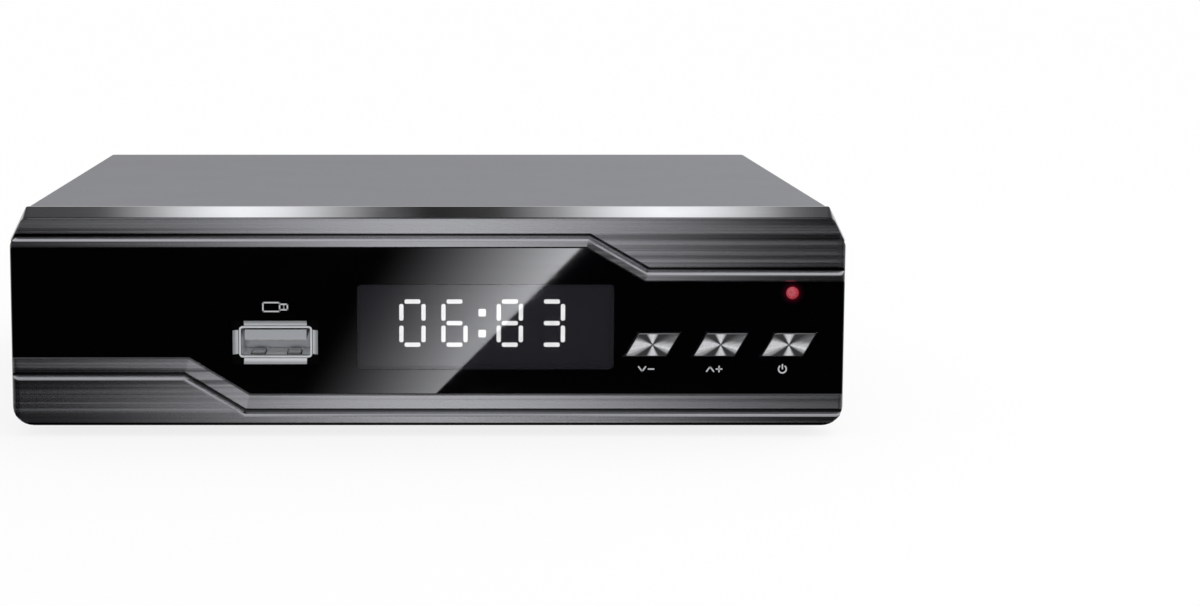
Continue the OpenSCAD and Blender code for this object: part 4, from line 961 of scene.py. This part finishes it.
class RECEIVER_OT_rear(Operator):
    """Finishes of the rear sockets"""

    bl_idname = "receiver.rear"
    bl_label = "Rear sockets"

    def execute(self, context):
        dress_plain(
            "Nickel plate", "cfd1d4", 0.2, "aerial_socket", "loop_sleeve", "phono_rings",
            "picture_shell", metallic=1.0, size=0.8 * MM, worn="f2f2f2", worn_width=0.15 * MM,
        )
        dress_plain("Cream core", "e2dcc6", 0.5, "aerial_core", "loop_core", size=0.4 * MM)
        dress_plain(
            "Socket resin", "19191b", 0.45, "phono_block", "power_inlet", "picture_tongue",
            depth=0.015 * MM,
        )
        for name in ("video", "left", "right"):
            colour = getattr(context.scene.receiver_colours, name)
            finish = name.capitalize() + " collar"
            dress_plain(finish, colour, 0.38, name + "_collar", size=0.5 * MM, spread=0.08)
        return {"FINISHED"}


class RECEIVER_OT_studio(Operator):
    """Pale floor, even light, soft lamps and the camera"""

    bl_idname = "receiver.studio"
    bl_label = "Studio"

    def execute(self, context):
        scene = context.scene
        studio = scene.receiver_studio
        scene.view_settings.view_transform = "Standard"
        self.floor(studio)
        self.room(scene, studio)
        self.sheet(studio)
        self.lamp("Overhead", (0.34, 0.0, 0.42), (0, 0, 0.04), 0.5, 0.5, studio.top_light)
        self.lamp("Front", (0, -1.0, 0.55), (0, 0, 0.02), 0.9, 0.6, studio.front_light)
        socket = middle_of("storage_shell")
        place = (socket.x, -0.5, socket.z - 0.01)
        small = self.lamp("Socket_light", place, socket, 0.12, 0.08, studio.socket_light)
        self.keep_to(small, "storage_shell", "storage_tongue", "storage_contacts")
        eye = bpy.data.cameras.new("Camera")
        eye.sensor_width = 36
        eye.lens = studio.lens
        eye.shift_x = SHIFT_X
        eye.shift_y = SHIFT_Y
        eye.clip_start = 0.01
        eye.clip_end = 50
        camera = bpy.data.objects.new("Camera", eye)
        scene.collection.objects.link(camera)
        camera.location = (0, panel_front - studio.camera_back, studio.camera_high)
        camera.rotation_euler = (math.pi / 2 - studio.camera_tilt, 0, 0)
        scene.camera = camera
        return {"FINISHED"}

    def lamp(self, name, place, target, wide, deep, power):
        """A soft lamp that lights the object and isn't seen itself."""
        data = bpy.data.lights.new(name, "AREA")
        data.shape = "RECTANGLE"
        data.size = wide
        data.size_y = deep
        data.energy = power
        lamp = bpy.data.objects.new(name, data)
        bpy.context.scene.collection.objects.link(lamp)
        lamp.location = place
        lamp.rotation_euler = (Vector(target) - Vector(place)).to_track_quat("-Z", "Y").to_euler()
        lamp.visible_camera = False
        lamp.visible_glossy = False
        return lamp

    def keep_to(self, light, *names):
        """Keeps a light to CAD nodes."""
        kept = bpy.data.collections.new(light.name + "_parts")
        for name in names:
            kept.objects.link(nodes[name])
        light.light_linking.receiver_collection = kept

    def staged(self, name, material, x0, x1, y0, y1, z):
        """A flat sheet of the studio."""
        bm = bmesh.new()
        bmesh.ops.create_grid(bm, x_segments=1, y_segments=1, size=1)
        for vert in bm.verts:
            vert.co = (x1 if vert.co.x > 0 else x0, y1 if vert.co.y > 0 else y0, z)
        obj = add_object(name, bm)
        obj.data.materials.append(material)
        return obj

    def floor(self, studio):
        """Pale floor that keeps the shadow and is white in the camera's eye where light falls."""
        f = Finish("Pale floor", Roughness=0.9, Specular_IOR_Level=0.0)
        dull = [part * 0.98 for part in studio.floor]
        f.put(Base_Color=f.mix(f.noise(f.place, 3.0), studio.floor, dull))
        white = f.get(0, "Emission", None, {"Color": (1, 1, 1), "Strength": 1.0})
        away = f.measure("LENGTH", f.place)
        share = f.get("Is Camera Ray", "LightPath") * f.remap(away, 0.09, 0.3, 0.82, 0.98)
        blend = f.get(0, "MixShader", None, {0: share, 1: f.shader.outputs[0], 2: white})
        floor = self.staged("Floor", f.show(blend), -4, 4, -4, 4, -0.00005)
        floor.visible_glossy = False

    def room(self, scene, studio):
        """Even light, white to the camera, and soft boxes and dark cards in what metal shows."""
        world = bpy.data.worlds.new("Studio")
        scene.world = world
        world.use_nodes = True
        world.cycles.sampling_method = "NONE"
        w = Wiring(world.node_tree)
        way = w.split(w.get("Generated", "TexCoord"))
        side = way[0] + 0.5
        boxes = w.ramp(
            side, (0.10, 0.06), (0.33, 0.07), (0.354, 0.09), (0.374, 0.38), (0.397, 0.90), (0.414, 1.13),
            (0.434, 0.95), (0.456, 0.49), (0.478, 0.125), (0.50, 0.02), (0.533, 0.05), (0.56, 0.35),
            (0.588, 0.93), (0.606, 1.17), (0.626, 1.0), (0.645, 0.57), (0.663, 0.17), (0.676, 0.08),
            (0.9, 0.06),
        )
        front = w.ramp(
            side, (0.05, 0.05), (0.25, 0.003), (0.334, 0.003), (0.36, 0.01), (0.388, 0.075),
            (0.425, 0.38), (0.465, 0.73), (0.5, 0.88), (0.542, 0.73), (0.578, 0.45), (0.623, 0.13),
            (0.651, 0.035), (0.68, 0.01), (0.75, 0.01), (0.95, 0.1),
        )
        front = w.scaled(front, w.remap(way[2], -0.131, -0.112))
        under = w.ramp(
            side, (0.25, 0.01), (0.334, 0.06), (0.36, 0.13), (0.388, 0.28), (0.425, 0.6), (0.5, 1.25),
            (0.578, 0.7), (0.623, 0.25), (0.651, 0.08), (0.68, 0.02),
        )
        drop = way[2] / way[1]
        under = w.scaled(under, w.remap(drop, 0.225, 0.36, 1.0, 0.65))
        front = w.mix(w.remap(drop, 0.2, 0.212), front, under)
        behind = w.ramp(way[1], (0.0, 0.3), (0.5, 0.55))
        around = w.mix(w.remap(way[1], -0.12, -0.35), behind, front)
        around = w.scaled(around, w.remap(abs(way[0]), 0.8, 0.93, 1.0, 0.2))
        zenith = w.mix(w.remap(way[1], -0.3, -0.15), (0.8, 0.8, 0.8), boxes)
        shine = w.mix(w.remap(way[2], 0.5, 0.75), around, zenith)
        shine = w.mix(w.remap(way[2], -0.72, -0.84), shine, (0.02, 0.02, 0.02))
        path = w.named(w.node("LightPath"))
        seen = w.math("MAXIMUM", path["Is Camera Ray"], path["Is Transmission Ray"])
        colour = w.mix(path["Is Glossy Ray"], [studio.sky] * 3, shine)
        back = world.node_tree.nodes["Background"]
        w.feed(back.inputs["Color"], w.mix(seen, colour, (1, 1, 1)))

    def sheet(self, studio):
        """Bright sheet on the floor that only the window mirrors, with a slanting edge."""
        f = Finish("Glow sheet")
        parts = f.split(f.place)
        eye_y = panel_front - studio.camera_back
        # Where the window shows a point of the sheet to the camera: across it, and up from the floor
        run = (parts[1] - window_y) / (eye_y - window_y)
        whole = run + 1.0
        up = (run * studio.camera_high + SHEET_Z) / whole
        across = parts[0] / whole
        edge = (up - 0.008) * (25.4 / 25.9) + 0.0018
        keep = f.remap(edge - across, -0.0001, 0.0002)
        rise = across * 20.55 + up * -12.33 + 0.599
        fade = f.math("POWER", f.math("MAXIMUM", rise, 0.0), 2.2)
        lines = f.noise(f.join(across * 30.0, up * 2600.0), 1.0, 3.0, 0.6) * 5.0 + 20.2
        glow = f.get(0, "Emission", None, {"Color": (0.955, 0.965, 1), "Strength": fade * keep * lines})
        both = f.get(0, "AddShader", None, {0: glow, 1: f.get(0, "BsdfTransparent")})
        sheet = self.staged("Glow_sheet", f.show(both), -0.2, 0.1, -0.34, -0.085, SHEET_Z)
        sheet.visible_camera = False
        sheet.visible_diffuse = False
        sheet.visible_shadow = False
        sheet.visible_transmission = False
        self.keep_to(sheet, "front_window", "display_filter")


STEPS = (
    RECEIVER_OT_front, RECEIVER_OT_display, RECEIVER_OT_keys, RECEIVER_OT_marks, RECEIVER_OT_storage,
    RECEIVER_OT_case, RECEIVER_OT_boards, RECEIVER_OT_rear, RECEIVER_OT_studio,
)


class RECEIVER_PT_pieces(Panel):
    """Lists the receiver's pieces and their settings"""

    bl_idname = "RECEIVER_PT_pieces"
    bl_label = "Receiver"
    bl_space_type = "VIEW_3D"
    bl_region_type = "UI"
    bl_category = "Receiver"

    def draw(self, context):
        for step in STEPS:
            self.layout.operator(step.bl_idname)
        for name in ("receiver_colours", "receiver_sizes", "receiver_studio"):
            settings = getattr(context.scene, name)
            box = self.layout.box()
            for key in settings.__annotations__:
                box.prop(settings, key)


CLASSES = (ReceiverColours, ReceiverSizes, ReceiverStudio, *STEPS, RECEIVER_PT_pieces)


def register():
    """Registers the classes and the scene's settings."""
    for item in CLASSES:
        bpy.utils.register_class(item)
    bpy.types.Scene.receiver_colours = PointerProperty(type=ReceiverColours)
    bpy.types.Scene.receiver_sizes = PointerProperty(type=ReceiverSizes)
    bpy.types.Scene.receiver_studio = PointerProperty(type=ReceiverStudio)


def unregister():
    """Takes the settings and the classes away again."""
    del bpy.types.Scene.receiver_colours
    del bpy.types.Scene.receiver_sizes
    del bpy.types.Scene.receiver_studio
    for item in reversed(CLASSES):
        bpy.utils.unregister_class(item)


def main():
    """Dresses the receiver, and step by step."""
    register()
    make_shared_effects()
    for step in STEPS:
        group, name = step.bl_idname.split(".")
        getattr(getattr(bpy.ops, group), name)()


if __name__ == "__main__":
    main()
